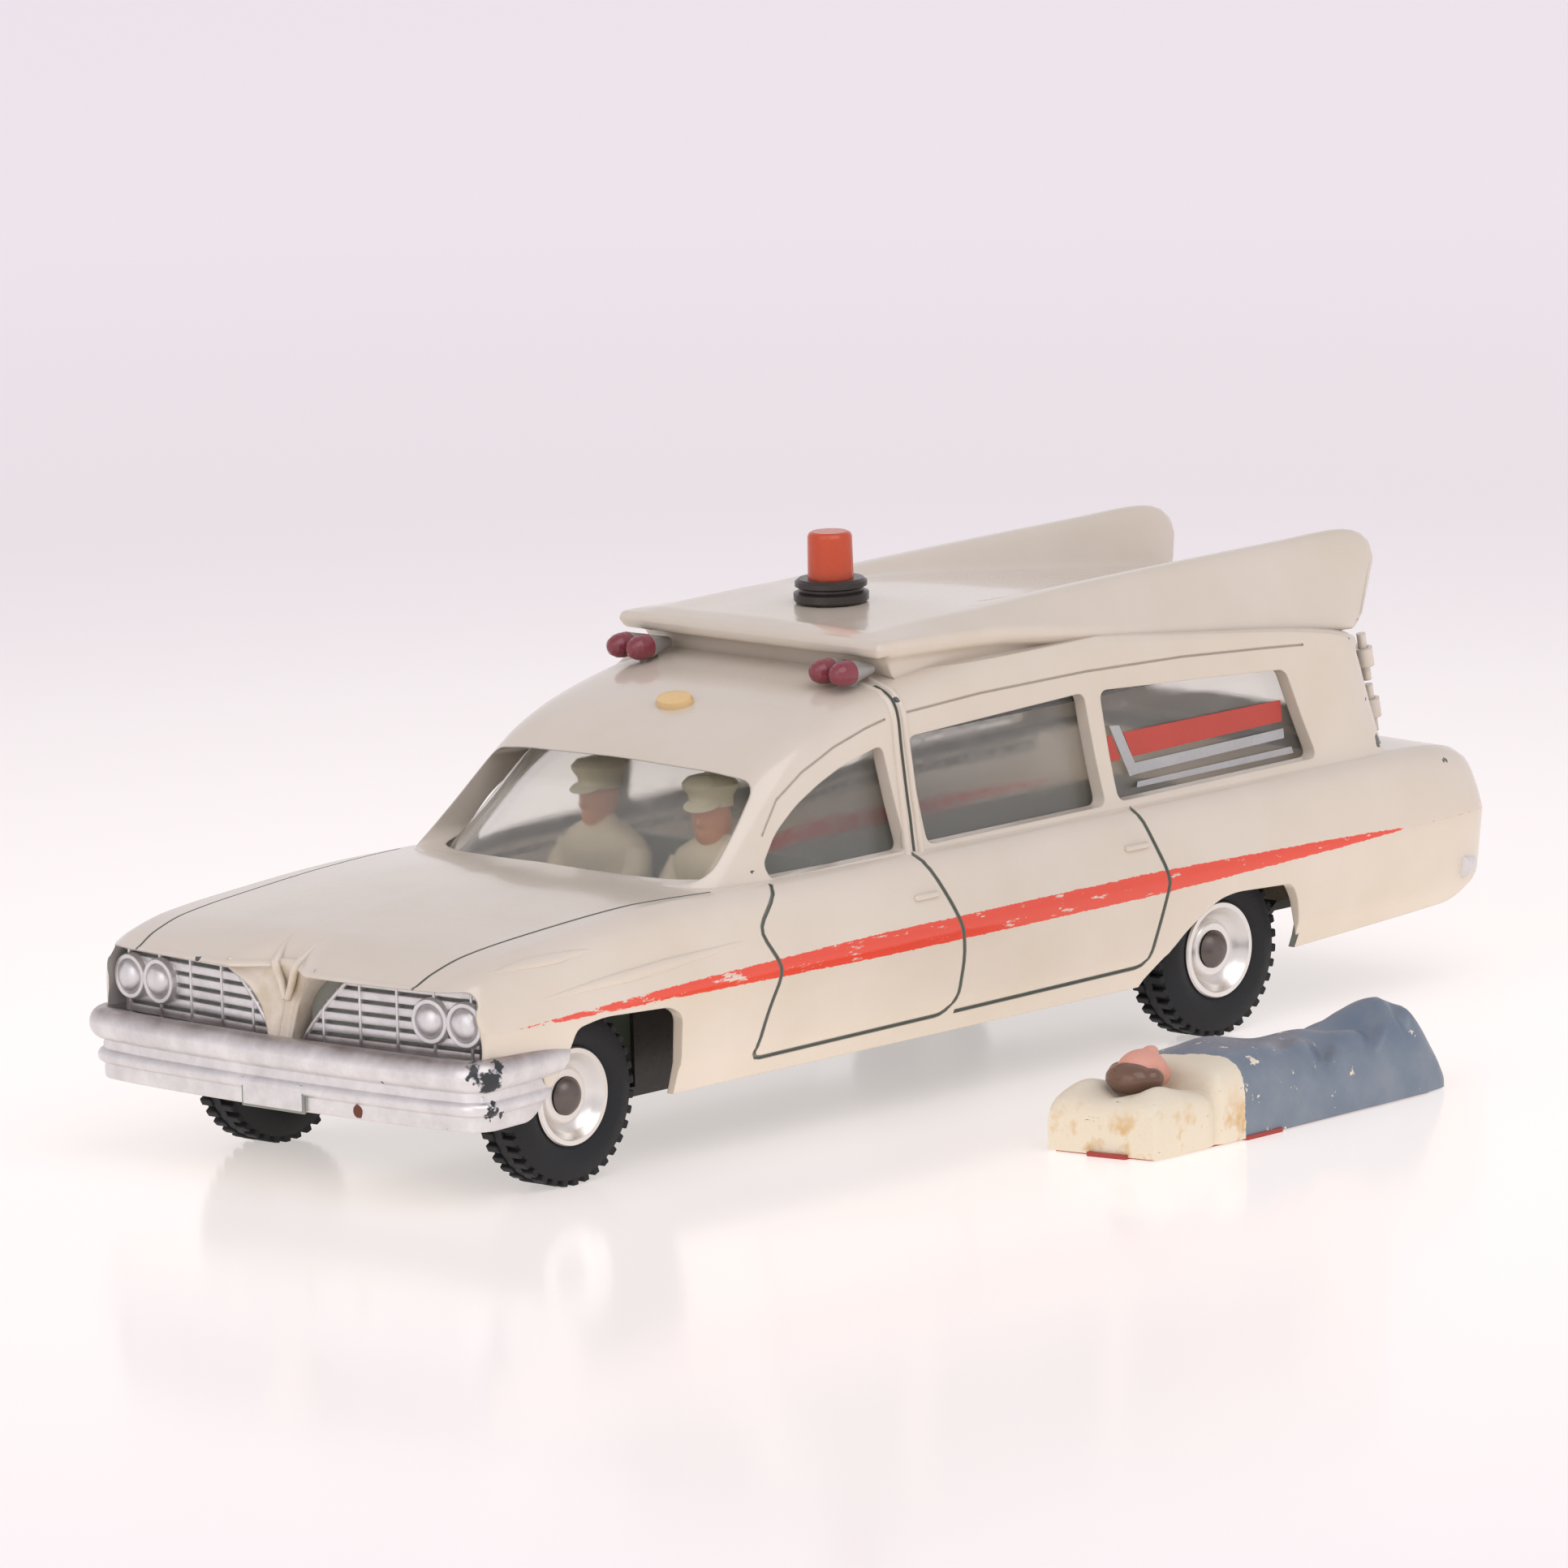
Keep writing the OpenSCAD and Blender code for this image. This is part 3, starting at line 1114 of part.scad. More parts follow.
body_shell();
window_glazing();
interior_tray();
steering_wheel();
driver();
attendant();
baseplate();
base_rivets();
steering_block();
steering_pivot();
front_axle();
rear_axle();
hub_front_left();
hub_front_right();
hub_rear_left();
hub_rear_right();
tyre_front_left();
tyre_front_right();
tyre_rear_left();
tyre_rear_right();
rear_door();
rear_door_glass();
rear_door_pin();
beacon_base();
beacon_lens();
roof_lamp_left();
roof_lamp_right();
roof_lamp_lens_left();
roof_lamp_lens_right();
roof_stud();
stretcher();
patient();
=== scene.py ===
import bmesh
import bpy
from math import atan, cos, exp, pi, radians, sin
from mathutils import Matrix, Vector
from mathutils.bvhtree import BVHTree


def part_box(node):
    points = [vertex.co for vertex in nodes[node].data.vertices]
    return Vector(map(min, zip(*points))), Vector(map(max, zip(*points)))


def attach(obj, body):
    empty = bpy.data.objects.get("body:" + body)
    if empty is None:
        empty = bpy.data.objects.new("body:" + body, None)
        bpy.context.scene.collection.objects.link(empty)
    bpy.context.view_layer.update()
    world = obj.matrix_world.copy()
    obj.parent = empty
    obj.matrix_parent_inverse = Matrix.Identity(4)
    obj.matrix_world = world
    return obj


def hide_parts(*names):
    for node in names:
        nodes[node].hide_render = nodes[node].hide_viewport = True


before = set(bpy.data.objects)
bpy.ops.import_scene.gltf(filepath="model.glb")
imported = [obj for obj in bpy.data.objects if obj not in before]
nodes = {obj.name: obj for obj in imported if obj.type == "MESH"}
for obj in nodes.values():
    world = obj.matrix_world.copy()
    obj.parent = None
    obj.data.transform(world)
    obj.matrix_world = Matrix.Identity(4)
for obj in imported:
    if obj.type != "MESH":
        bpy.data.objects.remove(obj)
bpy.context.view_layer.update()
scene = bpy.context.scene
mm = 0.001
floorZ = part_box("tyre_front_left")[0].z
# Pieces are drawn in mm from the floor up
toFrame = Matrix.Translation((0, 0, floorZ)) @ Matrix.Scale(mm, 4)
mirror = Matrix.Scale(-1, 4, (0, 1, 0))
farX, farY = 80, 30  # cuts reach this far past the nose and the sides
print("frame loaded:", len(nodes), "nodes")


# Curves through tables

def rowAt(rows, key):
    last = len(rows) - 1
    i = next((j for j in range(last) if key <= rows[j + 1][0]), last - 1)

    def slope(j):
        a, b = rows[max(j - 1, 0)], rows[min(j + 1, last)]
        return [(q - p) / (b[0] - a[0]) for p, q in zip(a, b)]

    gap = rows[i + 1][0] - rows[i][0]
    t = (key - rows[i][0]) / gap
    weights = (2 * t**3 - 3 * t**2 + 1, 3 * t**2 - 2 * t**3,
               (t**3 - 2 * t**2 + t) * gap, (t**3 - t**2) * gap)
    parts = (rows[i], rows[i + 1], slope(i), slope(i + 1))
    return [sum(w * part[n] for w, part in zip(weights, parts)) for n in range(len(rows[0]))]


def curveAt(points, share):
    rows = [[i / (len(points) - 1), *p] for i, p in enumerate(points)]
    return rowAt(rows, share)[1:]


def clamped(value, low=0.0, high=1.0):
    return min(max(value, low), high)


def filleted(points, radius, steps=5, closed=True, most=0.45):
    out = []
    count = len(points)
    for i, p in enumerate(points):
        here = Vector(p)
        if not closed and i in (0, count - 1):
            out.append(here)
            continue
        back, on = Vector(points[i - 1]) - here, Vector(points[(i + 1) % count]) - here
        reach = min(radius, back.length * most, on.length * most)
        a, b = here + back.normalized() * reach, here + on.normalized() * reach
        for s in range(steps + 1):
            t = s / steps
            out.append(a * (1 - t)**2 + here * 2 * t * (1 - t) + b * t**2)
    return out


def stepped(points, step):
    out = [points[0]]
    for a, b in zip(points, points[1:]):
        count = max(round((b - a).length / step), 1)
        out += [a.lerp(b, i / count) for i in range(1, count + 1)]
    return out


def ahead(points, i):
    return (points[min(i + 1, len(points) - 1)] - points[max(i - 1, 0)]).normalized()


def circle(sides, radius=1.0):
    turns = [a * 2 * pi / sides for a in range(sides)]
    return [(radius * cos(a), radius * sin(a)) for a in turns]


def mirrored(points):
    return [Vector((p[0], -p[1], *p[2:])) for p in points]


def turnAt(spot, degrees, axis):
    return Matrix.Translation(spot) @ Matrix.Rotation(radians(degrees), 4, axis)


# Mesh helpers: forms are drawn in mm and moved into the frame when they are finished

def outward(bm):
    bmesh.ops.recalc_face_normals(bm, faces=bm.faces[:])
    return bm


def ringForm(rings, merge=1e-4):
    last, count = len(rings) - 1, len(rings[0])
    bm = bmesh.new()
    bmesh.ops.create_grid(bm, x_segments=count, y_segments=last, size=0.5)
    for v in bm.verts:
        v.co = rings[round((v.co.y + 0.5) * last)][round((v.co.x + 0.5) * count) % count]
    bmesh.ops.remove_doubles(bm, verts=bm.verts[:], dist=merge)
    bmesh.ops.holes_fill(bm, edges=[e for e in bm.edges if e.is_boundary], sides=0)
    return outward(bm)


def prismForm(outline, axis, low, high):
    bm = bmesh.new()

    def place(p, depth):
        point = list(p)
        point.insert("xyz".index(axis), depth)
        return point

    face = bm.faces.new([bm.verts.new(place(p, low)) for p in outline])
    moved = bmesh.ops.extrude_face_region(bm, geom=[face])["geom"]
    bmesh.ops.translate(bm, vec=Vector(place((0, 0), high - low)),
                        verts=[v for v in moved if isinstance(v, bmesh.types.BMVert)])
    return outward(bm)


def sideCuts(outline, near, far):
    return [prismForm(outline, "y", near, far), prismForm(outline, "y", -far, -near)]


def spunForm(profile, steps):
    bm = bmesh.new()
    verts = [bm.verts.new((r, 0, z)) for r, z in profile]
    edges = [bm.edges.new(pair) for pair in zip(verts, verts[1:])]
    bmesh.ops.spin(bm, geom=verts + edges, cent=(0, 0, 0), axis=(0, 0, 1), angle=2 * pi,
                   steps=steps, use_merge=True)
    bmesh.ops.remove_doubles(bm, verts=bm.verts[:], dist=1e-4)
    return outward(bm)


def rounded(bm, edges, offset, segments):
    bmesh.ops.bevel(bm, geom=edges, offset=offset, segments=segments, profile=0.5,
                    affect="EDGES", material=-1)


def boxForm(size, centre, bevel=0.0, segments=2):
    bm = bmesh.new()
    bmesh.ops.create_cube(bm, size=1)
    bmesh.ops.scale(bm, vec=size, verts=bm.verts[:])
    if bevel:
        rounded(bm, bm.edges[:], bevel, segments)
    bmesh.ops.translate(bm, vec=centre, verts=bm.verts[:])
    return bm


def ballForm(radii, centre, segments=28):
    bm = bmesh.new()
    bmesh.ops.create_uvsphere(bm, u_segments=segments, v_segments=segments // 2, radius=1)
    bmesh.ops.scale(bm, vec=radii, verts=bm.verts[:])
    bmesh.ops.translate(bm, vec=centre, verts=bm.verts[:])
    return bm


def tubeForm(points, radii, sides=14):
    rings = []
    for i, (p, r) in enumerate(zip(points, radii)):
        out = ahead(points, i).cross(Vector((0.3, 1, 0.2))).normalized()
        up = ahead(points, i).cross(out)
        rings.append([p + (out * a + up * b) * r for a, b in circle(sides)])
    return ringForm(rings)


def joined(forms):
    bm = bmesh.new()
    for form in forms:
        mesh = bpy.data.meshes.new("join")
        form.to_mesh(mesh)
        bm.from_mesh(mesh)
        form.free()
        bpy.data.meshes.remove(mesh)
    return bm


def turned(bm, matrix):
    bm.transform(matrix)
    if matrix.to_3x3().determinant() < 0:
        bmesh.ops.reverse_faces(bm, faces=bm.faces[:])
    return bm


def bothSides(bm):
    return joined([bm.copy(), turned(bm, mirror)])


def marked(bm, index):
    for face in bm.faces:
        face.material_index = index
    return bm


def looseObject(name, bm):
    mesh = bpy.data.meshes.new(name)
    bm.to_mesh(mesh)
    bm.free()
    thing = bpy.data.objects.new(name, mesh)
    scene.collection.objects.link(thing)
    return thing


def settled(base, tools=()):
    result = bmesh.new()
    result.from_object(base, bpy.context.evaluated_depsgraph_get())
    for thing in (base, *tools):
        mesh = thing.data
        bpy.data.objects.remove(thing)
        bpy.data.meshes.remove(mesh)
    return result


def carved(bm, cutters):
    base = looseObject("carveBase", bm)
    tools = [looseObject("carveTool", cutter) for cutter in cutters]
    for tool in tools:
        cut = base.modifiers.new("cut", "BOOLEAN")
        cut.object, cut.operation, cut.solver = tool, "DIFFERENCE", "EXACT"
    return settled(base, tools)


def remeshed(forms, voxel, smooth):
    thing = looseObject("remeshBase", joined(forms))
    cells = thing.modifiers.new("cells", "REMESH")
    cells.mode, cells.voxel_size = "VOXEL", voxel
    ease = thing.modifiers.new("ease", "SMOOTH")
    ease.factor, ease.iterations = 0.5, smooth
    return settled(thing)


def finished(name, bm, materials, sharp=32, replaces=(), body="car"):
    bm.transform(toFrame)
    piece = looseObject(name, bm)
    mesh = piece.data
    for material in materials:
        mesh.materials.append(material)
    mesh.shade_smooth()
    mesh.set_sharp_from_angle(angle=radians(sharp))
    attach(piece, body)
    if replaces:
        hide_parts(*replaces)
    print("made", name, len(mesh.polygons), "faces")


# Material helpers: a kit adds nodes to one tree, and places are in mm from the floor up

class NodeKit:
    def __init__(self, tree, place=None):
        self.tree, self.place = tree, place

    def fill(self, socket, value):
        if isinstance(value, bpy.types.NodeSocket):
            self.tree.links.new(value, socket)
        else:
            opaque = socket.type == "RGBA" and len(value) == 3
            socket.default_value = (*value, 1) if opaque else value

    def node(self, kind, sockets=None, **settings):
        item = self.tree.nodes.new("ShaderNode" + kind)
        for key, value in settings.items():
            setattr(item, key, value)
        for key, value in (sockets or {}).items():
            self.fill(item.inputs[key], value)
        return item

    def math(self, operation, a, b=0.0):
        return self.node("Math", {0: a, 1: b}, operation=operation).outputs[0]

    def plus(self, a, b):
        return self.math("ADD", a, b)

    def minus(self, a, b):
        return self.math("SUBTRACT", a, b)

    def times(self, a, b):
        return self.math("MULTIPLY", a, b)

    def vector(self, operation, *values, out=0):
        return self.node("VectorMath", dict(enumerate(values)), operation=operation).outputs[out]

    def axes(self):
        return self.node("SeparateXYZ", {0: self.place}).outputs[:3]

    def noise(self, scale, detail=3.0, roughness=0.6, stretch=None, out="Fac"):
        place = self.place
        if stretch:
            place = self.node("Mapping", {"Vector": place, "Scale": stretch}).outputs[0]
        return self.node("TexNoise", {"Vector": place, "Scale": scale, "Detail": detail,
                                      "Roughness": roughness}).outputs[out]

    def range(self, value, low, high, toLow=0.0, toHigh=1.0):
        return self.node("MapRange", {"Value": value, "From Min": low, "From Max": high,
                                      "To Min": toLow, "To Max": toHigh}, clamp=True).outputs[0]

    def mix(self, mask, a, b):
        return self.node("Mix", {0: mask, 6: a, 7: b}, data_type="RGBA",
                         clamp_factor=True).outputs[2]

    def paint(self, key, value):
        self.fill(self.shader.inputs[key], value)

    def bump(self, strength, height, edgeR=0.0):
        sockets = {"Strength": strength, "Distance": 0.0001, "Height": height}
        if edgeR:
            sockets["Normal"] = self.node("Bevel", {"Radius": edgeR}, samples=4).outputs[0]
        self.paint("Normal", self.node("Bump", sockets).outputs[0])

    def grain(self, colour, scale, shade, rough, bump=0.0):
        sockets = {"Place": self.place, "Scale": scale, "Colour": colour, "Shade": shade,
                   "Rough Low": rough[0], "Rough High": rough[1]}
        grain = self.node("Group", sockets, node_tree=fineGrain).outputs
        self.paint("Base Color", grain["Colour"])
        self.paint("Roughness", grain["Roughness"])
        if bump:
            self.bump(bump, grain["Height"])

    def spots(self, spots, fray=0.5):
        shaken = self.vector("SUBTRACT", self.noise(1.9, 4.0, 0.5, out="Color"), (0.5,) * 3)
        moved = self.vector("MULTIPLY_ADD", shaken, (fray * 2,) * 3, self.place)
        mask = 0.0
        for *middle, radius in spots:
            gap = self.vector("DISTANCE", moved, middle, out="Value")
            mask = self.math("MAXIMUM", self.range(gap, radius, radius * 0.9), mask)
        return mask


def newKit(name, **sockets):
    material = bpy.data.materials.new(name)
    material.use_nodes = True
    kit = NodeKit(material.node_tree)
    kit.material, kit.shader = material, kit.tree.nodes["Principled BSDF"]
    for key, value in sockets.items():
        kit.paint(key, value)
    place = kit.node("TexCoord").outputs["Object"]
    kit.place = kit.node("Mapping", {"Vector": place, "Scale": (1 / mm,) * 3,
                                     "Location": (0, 0, -floorZ / mm)}).outputs[0]
    return kit


def makeGrain():
    group = bpy.data.node_groups.new("fineGrain", "ShaderNodeTree")
    for way, labels in (("INPUT", {"Place": "Vector", "Scale": "Float", "Colour": "Color",
                                   "Shade": "Float", "Rough Low": "Float", "Rough High": "Float"}),
                        ("OUTPUT", {"Colour": "Color", "Roughness": "Float", "Height": "Float"})):
        for label, kind in labels.items():
            group.interface.new_socket(label, in_out=way, socket_type="NodeSocket" + kind)
    entry = group.nodes.new("NodeGroupInput").outputs
    leave = group.nodes.new("NodeGroupOutput").inputs
    kit = NodeKit(group, entry["Place"])
    fine = kit.noise(entry["Scale"], 4.0, 0.65)
    both = kit.plus(kit.times(kit.noise(0.12, 2.0), 0.6), kit.times(fine, 0.4))
    swing = kit.times(kit.minus(both, 0.5), entry["Shade"])
    level = kit.plus(kit.times(swing, 2.0), 1.0)
    kit.fill(leave["Colour"], kit.vector("MULTIPLY", entry["Colour"], level))
    kit.fill(leave["Roughness"], kit.range(fine, 0.3, 0.7, entry["Rough Low"], entry["Rough High"]))
    kit.fill(leave["Height"], fine)
    return group


fineGrain = makeGrain()


def plainFinish(name, colour, rough, scale=2.0, shade=0.15, bump=0.1, **sockets):
    kit = newKit(name, **sockets)
    kit.grain(colour, scale, shade, rough, bump)
    return kit.material


# Cream enamel with the worn stripe along the side crease and chips down to the metal
creamPaint = {
    "colour": (0.63, 0.565, 0.5), "stripe": (0.68, 0.058, 0.026), "metal": (0.06, 0.065, 0.07),
    "stripeTips": (57.5, -52.0), "stripeMiddle": 14.92, "stripeHalf": 1.0, "stripeFrom": 17.5,
    # hollowShade: brown painted shade for the hollow of the beak under the bonnet's lip
    "hollowShade": (0.52, 0.42, 0.3), "hollowShadeSpot": (61.6, 0.0, 15.4, 3.4),
    "chips": [(63.5, -8.0, 18.5, 0.34), (62.6, 13.4, 18.0, 0.3), (58.6, 19.2, 16.6, 0.62),
        (60.6, 18.0, 17.4, 0.24), (55.5, 19.0, 17.5, 0.25), (25.6, 18.2, 19.6, 0.3),
        (24.6, 17.6, 22.4, 0.32), (4.9, 15.6, 33.6, 0.35), (-50.9, 16.4, 31.0, 0.4),
        (-52.2, 17.0, 25.6, 0.35), (-52.6, 17.4, 22.0, 0.55), (-49.5, 20.1, 19.4, 0.28),
        (-62.0, 19.0, 12.5, 0.5), (-59.5, 19.2, 19.6, 0.4)]}


def makeCreamPaint():
    look = creamPaint
    kit = newKit("creamEnamel", **{"Coat Weight": 0.4, "Coat Roughness": 0.06})
    x, y, z = kit.axes()
    fray = kit.times(kit.minus(kit.noise(1.6, 4.0, 0.7), 0.5), 0.36)
    toFront = kit.range(kit.minus(look["stripeTips"][0], x), 0, 45)
    toRear = kit.range(kit.minus(x, look["stripeTips"][1]), 0, 33)
    taper = kit.math("MINIMUM", kit.math("POWER", toFront, 0.75), kit.math("POWER", toRear, 0.6))
    off = kit.math("ABSOLUTE", kit.minus(z, look["stripeMiddle"]))
    inside = kit.minus(kit.times(taper, look["stripeHalf"]), kit.plus(off, fray))
    onSide = kit.math("GREATER_THAN", kit.math("ABSOLUTE", y), look["stripeFrom"])
    streaks = kit.noise(1.1, 6.0, 0.75, stretch=(0.25, 1, 1.2))
    worn = kit.range(kit.plus(streaks, kit.range(x, 8, 50, 0.0, 0.07)), 0.61, 0.64)
    stripe = kit.times(kit.times(kit.range(inside, 0.0, 0.06), onSide), kit.minus(1.0, worn))
    shaded = tuple(c * d for c, d in zip(look["colour"], (0.95, 0.94, 0.90)))
    cast = kit.mix(kit.range(kit.noise(0.09), 0.35, 0.7), look["colour"], shaded)
    # Painted shade: a brown patch, broken up by noise, in the hollow of the beak
    shadePatches = kit.range(kit.noise(0.6), 0.4, 0.75, 0.0, 0.8)
    hollowShading = kit.times(kit.spots([look["hollowShadeSpot"]], 1.0), shadePatches)
    colour = kit.mix(stripe, kit.mix(hollowShading, cast, look["hollowShade"]), look["stripe"])
    specks = kit.range(kit.noise(3.1, 2.0, 0.5), 0.81, 0.83)
    bare = kit.math("MAXIMUM", specks, kit.spots(look["chips"]))
    kit.grain(kit.mix(bare, colour, look["metal"]), 5.0, 0.05, (0.16, 0.26))
    kit.bump(0.10, kit.noise(1.3), 0.0002)
    return kit.material


# Silver paint of the front end, with brown painted shade on top of the bumper
silverLook = {
    "bright": (0.8, 0.78, 0.79), "dull": (0.62, 0.605, 0.615), "brown": (0.31, 0.255, 0.25),
    "metal": (0.06, 0.065, 0.07), "rust": [(63.1, 9.3, 7.7, 0.55)],
    "rustColour": (0.16, 0.06, 0.04),
    "chips": [(61.8, 21.2, 11.9, 1.05), (61.0, 21.9, 11.4, 1.2), (60.3, 22.2, 12.2, 0.7),
        (60.6, 21.6, 8.8, 0.75), (59.6, 21.9, 8.3, 0.35), (63.6, 12.6, 10.4, 0.28),
        (64.2, 3.6, 8.7, 0.3), (64.2, -3.4, 8.6, 0.3), (61.9, 18.5, 7.2, 0.35),
        (58.0, 22.4, 8.8, 0.3)]}


def makeSilverPaint():
    look = silverLook
    kit = newKit("silverPaint", Metallic=0.8)
    patch = kit.mix(kit.range(kit.noise(0.35, 4.0, 0.7), 0.35, 0.75), look["bright"], look["dull"])
    z = kit.axes()[2]
    # Painted shade: the top of the upper bumper bar made browner and darker, broken up by noise
    onTop = kit.times(kit.range(z, 11.7, 12.7), kit.range(z, 13.3, 13.0))
    stainAndShade = kit.times(onTop, kit.range(kit.noise(0.3, 4.0), 0.3, 0.7, 0.35, 0.95))
    specks = kit.range(kit.noise(2.3), 0.78, 0.80)
    bare = kit.math("MAXIMUM", specks, kit.spots(look["chips"]))
    colour = kit.mix(bare, kit.mix(stainAndShade, patch, look["brown"]), look["metal"])
    rusty = kit.mix(kit.spots(look["rust"], 0.2), colour, look["rustColour"])
    kit.grain(rusty, 9.0, 0.16, (0.30, 0.46))
    kit.bump(0.18, kit.noise(6.0), 0.00012)
    return kit.material


creamEnamel = makeCreamPaint()
silverPaint = makeSilverPaint()
# Painted shade: dark grey-green for the walls of shut lines, pillar grooves, wheel wells and the
# doorway, behind the grille slats and round the plate
grooveShade = plainFinish("paintedGrooveShade", (0.21, 0.225, 0.20), (0.5, 0.7))
# Painted shade: grey for the walls of the grille pockets and the beak's opening
recessShade = plainFinish("paintedRecessShade", (0.36, 0.345, 0.33), (0.5, 0.7), scale=1.0, shade=0.3)
blackEnamel = plainFinish("blackEnamel", (0.018, 0.018, 0.019), (0.25, 0.4))
darkSteel = plainFinish("darkSteel", (0.16, 0.135, 0.125), (0.28, 0.45), Metallic=0.9)
bareSteel = plainFinish("bareSteel", (0.52, 0.51, 0.50), (0.25, 0.4), Metallic=1.0)
trayGreen = plainFinish("trayGreen", (0.155, 0.205, 0.165), (0.4, 0.6), shade=0.25)
tyreRubber = plainFinish("tyreRubber", (0.017, 0.018, 0.021), (0.45, 0.62), scale=4.0, shade=0.3,
                         bump=0.25, **{"Specular IOR Level": 0.2})
beaconBlack = plainFinish("beaconBlack", (0.055, 0.048, 0.045), (0.22, 0.4), Metallic=0.6)
beaconOrange = plainFinish("beaconOrange", (0.70, 0.09, 0.027), (0.14, 0.24), shade=0.2,
                           **{"Transmission Weight": 0.35})
lampGrey = plainFinish("lampGrey", (0.36, 0.35, 0.34), (0.3, 0.5), Metallic=0.5, shade=0.35)
lensMaroon = plainFinish("lensMaroon", (0.21, 0.04, 0.055), (0.15, 0.3), shade=0.3)
studCream = plainFinish("studCream", (0.72, 0.50, 0.24), (0.3, 0.5), shade=0.3)
stretcherRed = plainFinish("stretcherRed", (0.31, 0.03, 0.022), (0.35, 0.5), shade=0.3)
print("paints mixed")

# Lower body: the same section tables as the casting, at a finer step
bodyForm = {
    "noseX": 63.2, "length": 128.0, "halfWidth": 21.0, "beltZ": 21.3, "creaseZ": 14.8, "sillZ": 6.0,
    "wall": 1.1, "sweep": 1.8, "sweepEnd": 0.16, "cornerBack": 1.3, "notch": 2.8, "notchHalf": 4.9,
    "notchEnd": 0.05, "roll": 0.6, "rollSteps": 4, "stations": 120, "cornerFrom": 0.8,
    "cavity": (0.045, 0.986, 40), "steps": (9, 10, 22),
    "rows": [[0.0, 1.04, 0.868, 0.012], [0.015, 1.048, 0.905, 0.024], [0.045, 1.046, 0.946, 0.036],
        [0.12, 1.032, 0.984, 0.048], [0.2, 1.014, 1.01, 0.05], [0.295, 1.005, 1.008, 0.04],
        [0.49, 1.004, 0.997, 0.012], [0.69, 1.0, 0.994, 0.01], [0.89, 0.992, 0.99, 0.01],
        [0.945, 0.98, 0.976, 0.01], [0.97, 0.962, 0.957, 0.009], [0.986, 0.934, 0.928, 0.008],
        [0.995, 0.9, 0.895, 0.006], [1.0, 0.855, 0.858, 0.004]],
    "profiles": [[[0.898, 0], [0.938, 0.24], [0.957, 0.33], [0.974, 0.6], [0.993, 0.88], [1.0, 1]],
        [[1.0, 0], [0.988, 0.2], [0.96, 0.52], [0.915, 0.86], [0.85, 1]], [[0.85, 0], [0.7, 0.3],
        [0.4, 0.78], [0, 1]]]}


def bodyX(share):
    return bodyForm["noseX"] - share * bodyForm["length"]


def bodyPoint(share, up, inset=0.0):
    b = bodyForm
    _, wide, tall, crown = rowAt(b["rows"], share)
    halfW, top = wide * b["halfWidth"] - inset, tall * b["beltZ"] - inset
    levels = (b["sillZ"] - (1 if inset else 0), b["creaseZ"], top, top + crown * b["beltZ"])
    part = min(int(up), 2)
    y, h = curveAt(b["profiles"][part], up - part)
    z = levels[part] + h * (levels[part + 1] - levels[part])
    corner = max((y - b["cornerFrom"]) / (1 - b["cornerFrom"]), 0.0)**2
    swept = b["sweep"] * y**3 + b["cornerBack"] * corner
    x = bodyX(share) - swept * max(1 - share / b["sweepEnd"], 0)
    near = max(1 - abs(y * halfW) / b["notchHalf"], 0.0)
    x -= b["notch"] * near * near * (3 - 2 * near) * max(1 - share / b["notchEnd"], 0.0)**1.5
    return Vector((x, y * halfW, z))


def stepMarks(steps, thin):
    marks = [part + i / count for part, count in enumerate(steps) for i in range(0, count, thin)]
    return marks + [len(steps)]


def bodySolid(inset, fromShare, toShare, stations, thin=1):
    b = bodyForm
    marks = stepMarks(b["steps"], thin)
    roll, steps = (0.0, 0) if inset else (b["roll"], b["rollSteps"])
    rings = []
    for i in range(-steps, stations + steps + 1):
        past = max(-i, i - stations, 0) * pi / 2 / max(steps, 1)
        t = clamped(i, 0, stations) / stations
        share = fromShare + (t - 0.09 * sin(2 * pi * t) * bool(steps)) * (toShare - fromShare)
        push = Vector((roll * sin(past) * (1 if i < 0 else -0.3), 0, 0))
        within = inset + roll * (1 - cos(past))
        left = [bodyPoint(share, mark, within) + push for mark in marks]
        rings.append(mirrored(left) + left[-2::-1])
    return ringForm(rings)


# Cabin: plans stacked up from the belt
cabinForm = {
    "length": 88.2, "screenX": 33.2, "width": 35.6, "topZ": 35.3, "levels": 34, "rearRound": 6.0,
    "steps": (30, 26, 8),
    "rows": [[-0.09, -0.022, 0.24, 1.025, 6.0, 0.93, 1.006],
        [0.0, 0.0, 0.25, 1.002, 6.0, 0.928, 1.001], [0.265, 0.058, 0.275, 0.956, 6.2, 0.922, 0.994],
        [0.59, 0.126, 0.32, 0.914, 6.4, 0.915, 0.984], [0.7, 0.15, 0.365, 0.904, 5.8, 0.908, 0.978],
        [0.8, 0.182, 0.42, 0.893, 5.2, 0.83, 0.9], [0.905, 0.234, 0.49, 0.876, 4.4, 0.69, 0.76],
        [1.0, 0.316, 0.54, 0.85, 3.6, 0.56, 0.64]]}


def cabinX(share):
    return cabinForm["screenX"] - share * cabinForm["length"]


def cabinPoint(around, share, inset=0.0):
    c, beltZ = cabinForm, bodyForm["beltZ"]
    row = rowAt(c["rows"], share)
    y, z = row[3] * c["width"] / 2 - inset, beltZ + share * (c["topZ"] - beltZ) - inset
    frontSide, rearSide = cabinX(row[2]), cabinX(row[5])
    if 1 < around < 2:
        return Vector((frontSide + (around - 1) * (rearSide - frontSide), y, z))
    if around <= 1:
        a, n, mid, side = around * pi / 2, row[4], cabinX(row[1]) - inset, frontSide
    else:
        a, n, mid, side = (3 - around) * pi / 2, c["rearRound"], cabinX(row[6]) + inset, rearSide
    return Vector((side + (mid - side) * max(cos(a), 0)**(2 / n), y * max(sin(a), 0)**(2 / n), z))


def cabinSolid(inset, low, high, levels, thin=1):
    marks = stepMarks(cabinForm["steps"], thin)
    rings = []
    for i in range(levels + 1):
        left = [cabinPoint(mark, low + i / levels * (high - low), inset) for mark in marks]
        rings.append(left + mirrored(left[-2:0:-1]))
    return ringForm(rings)


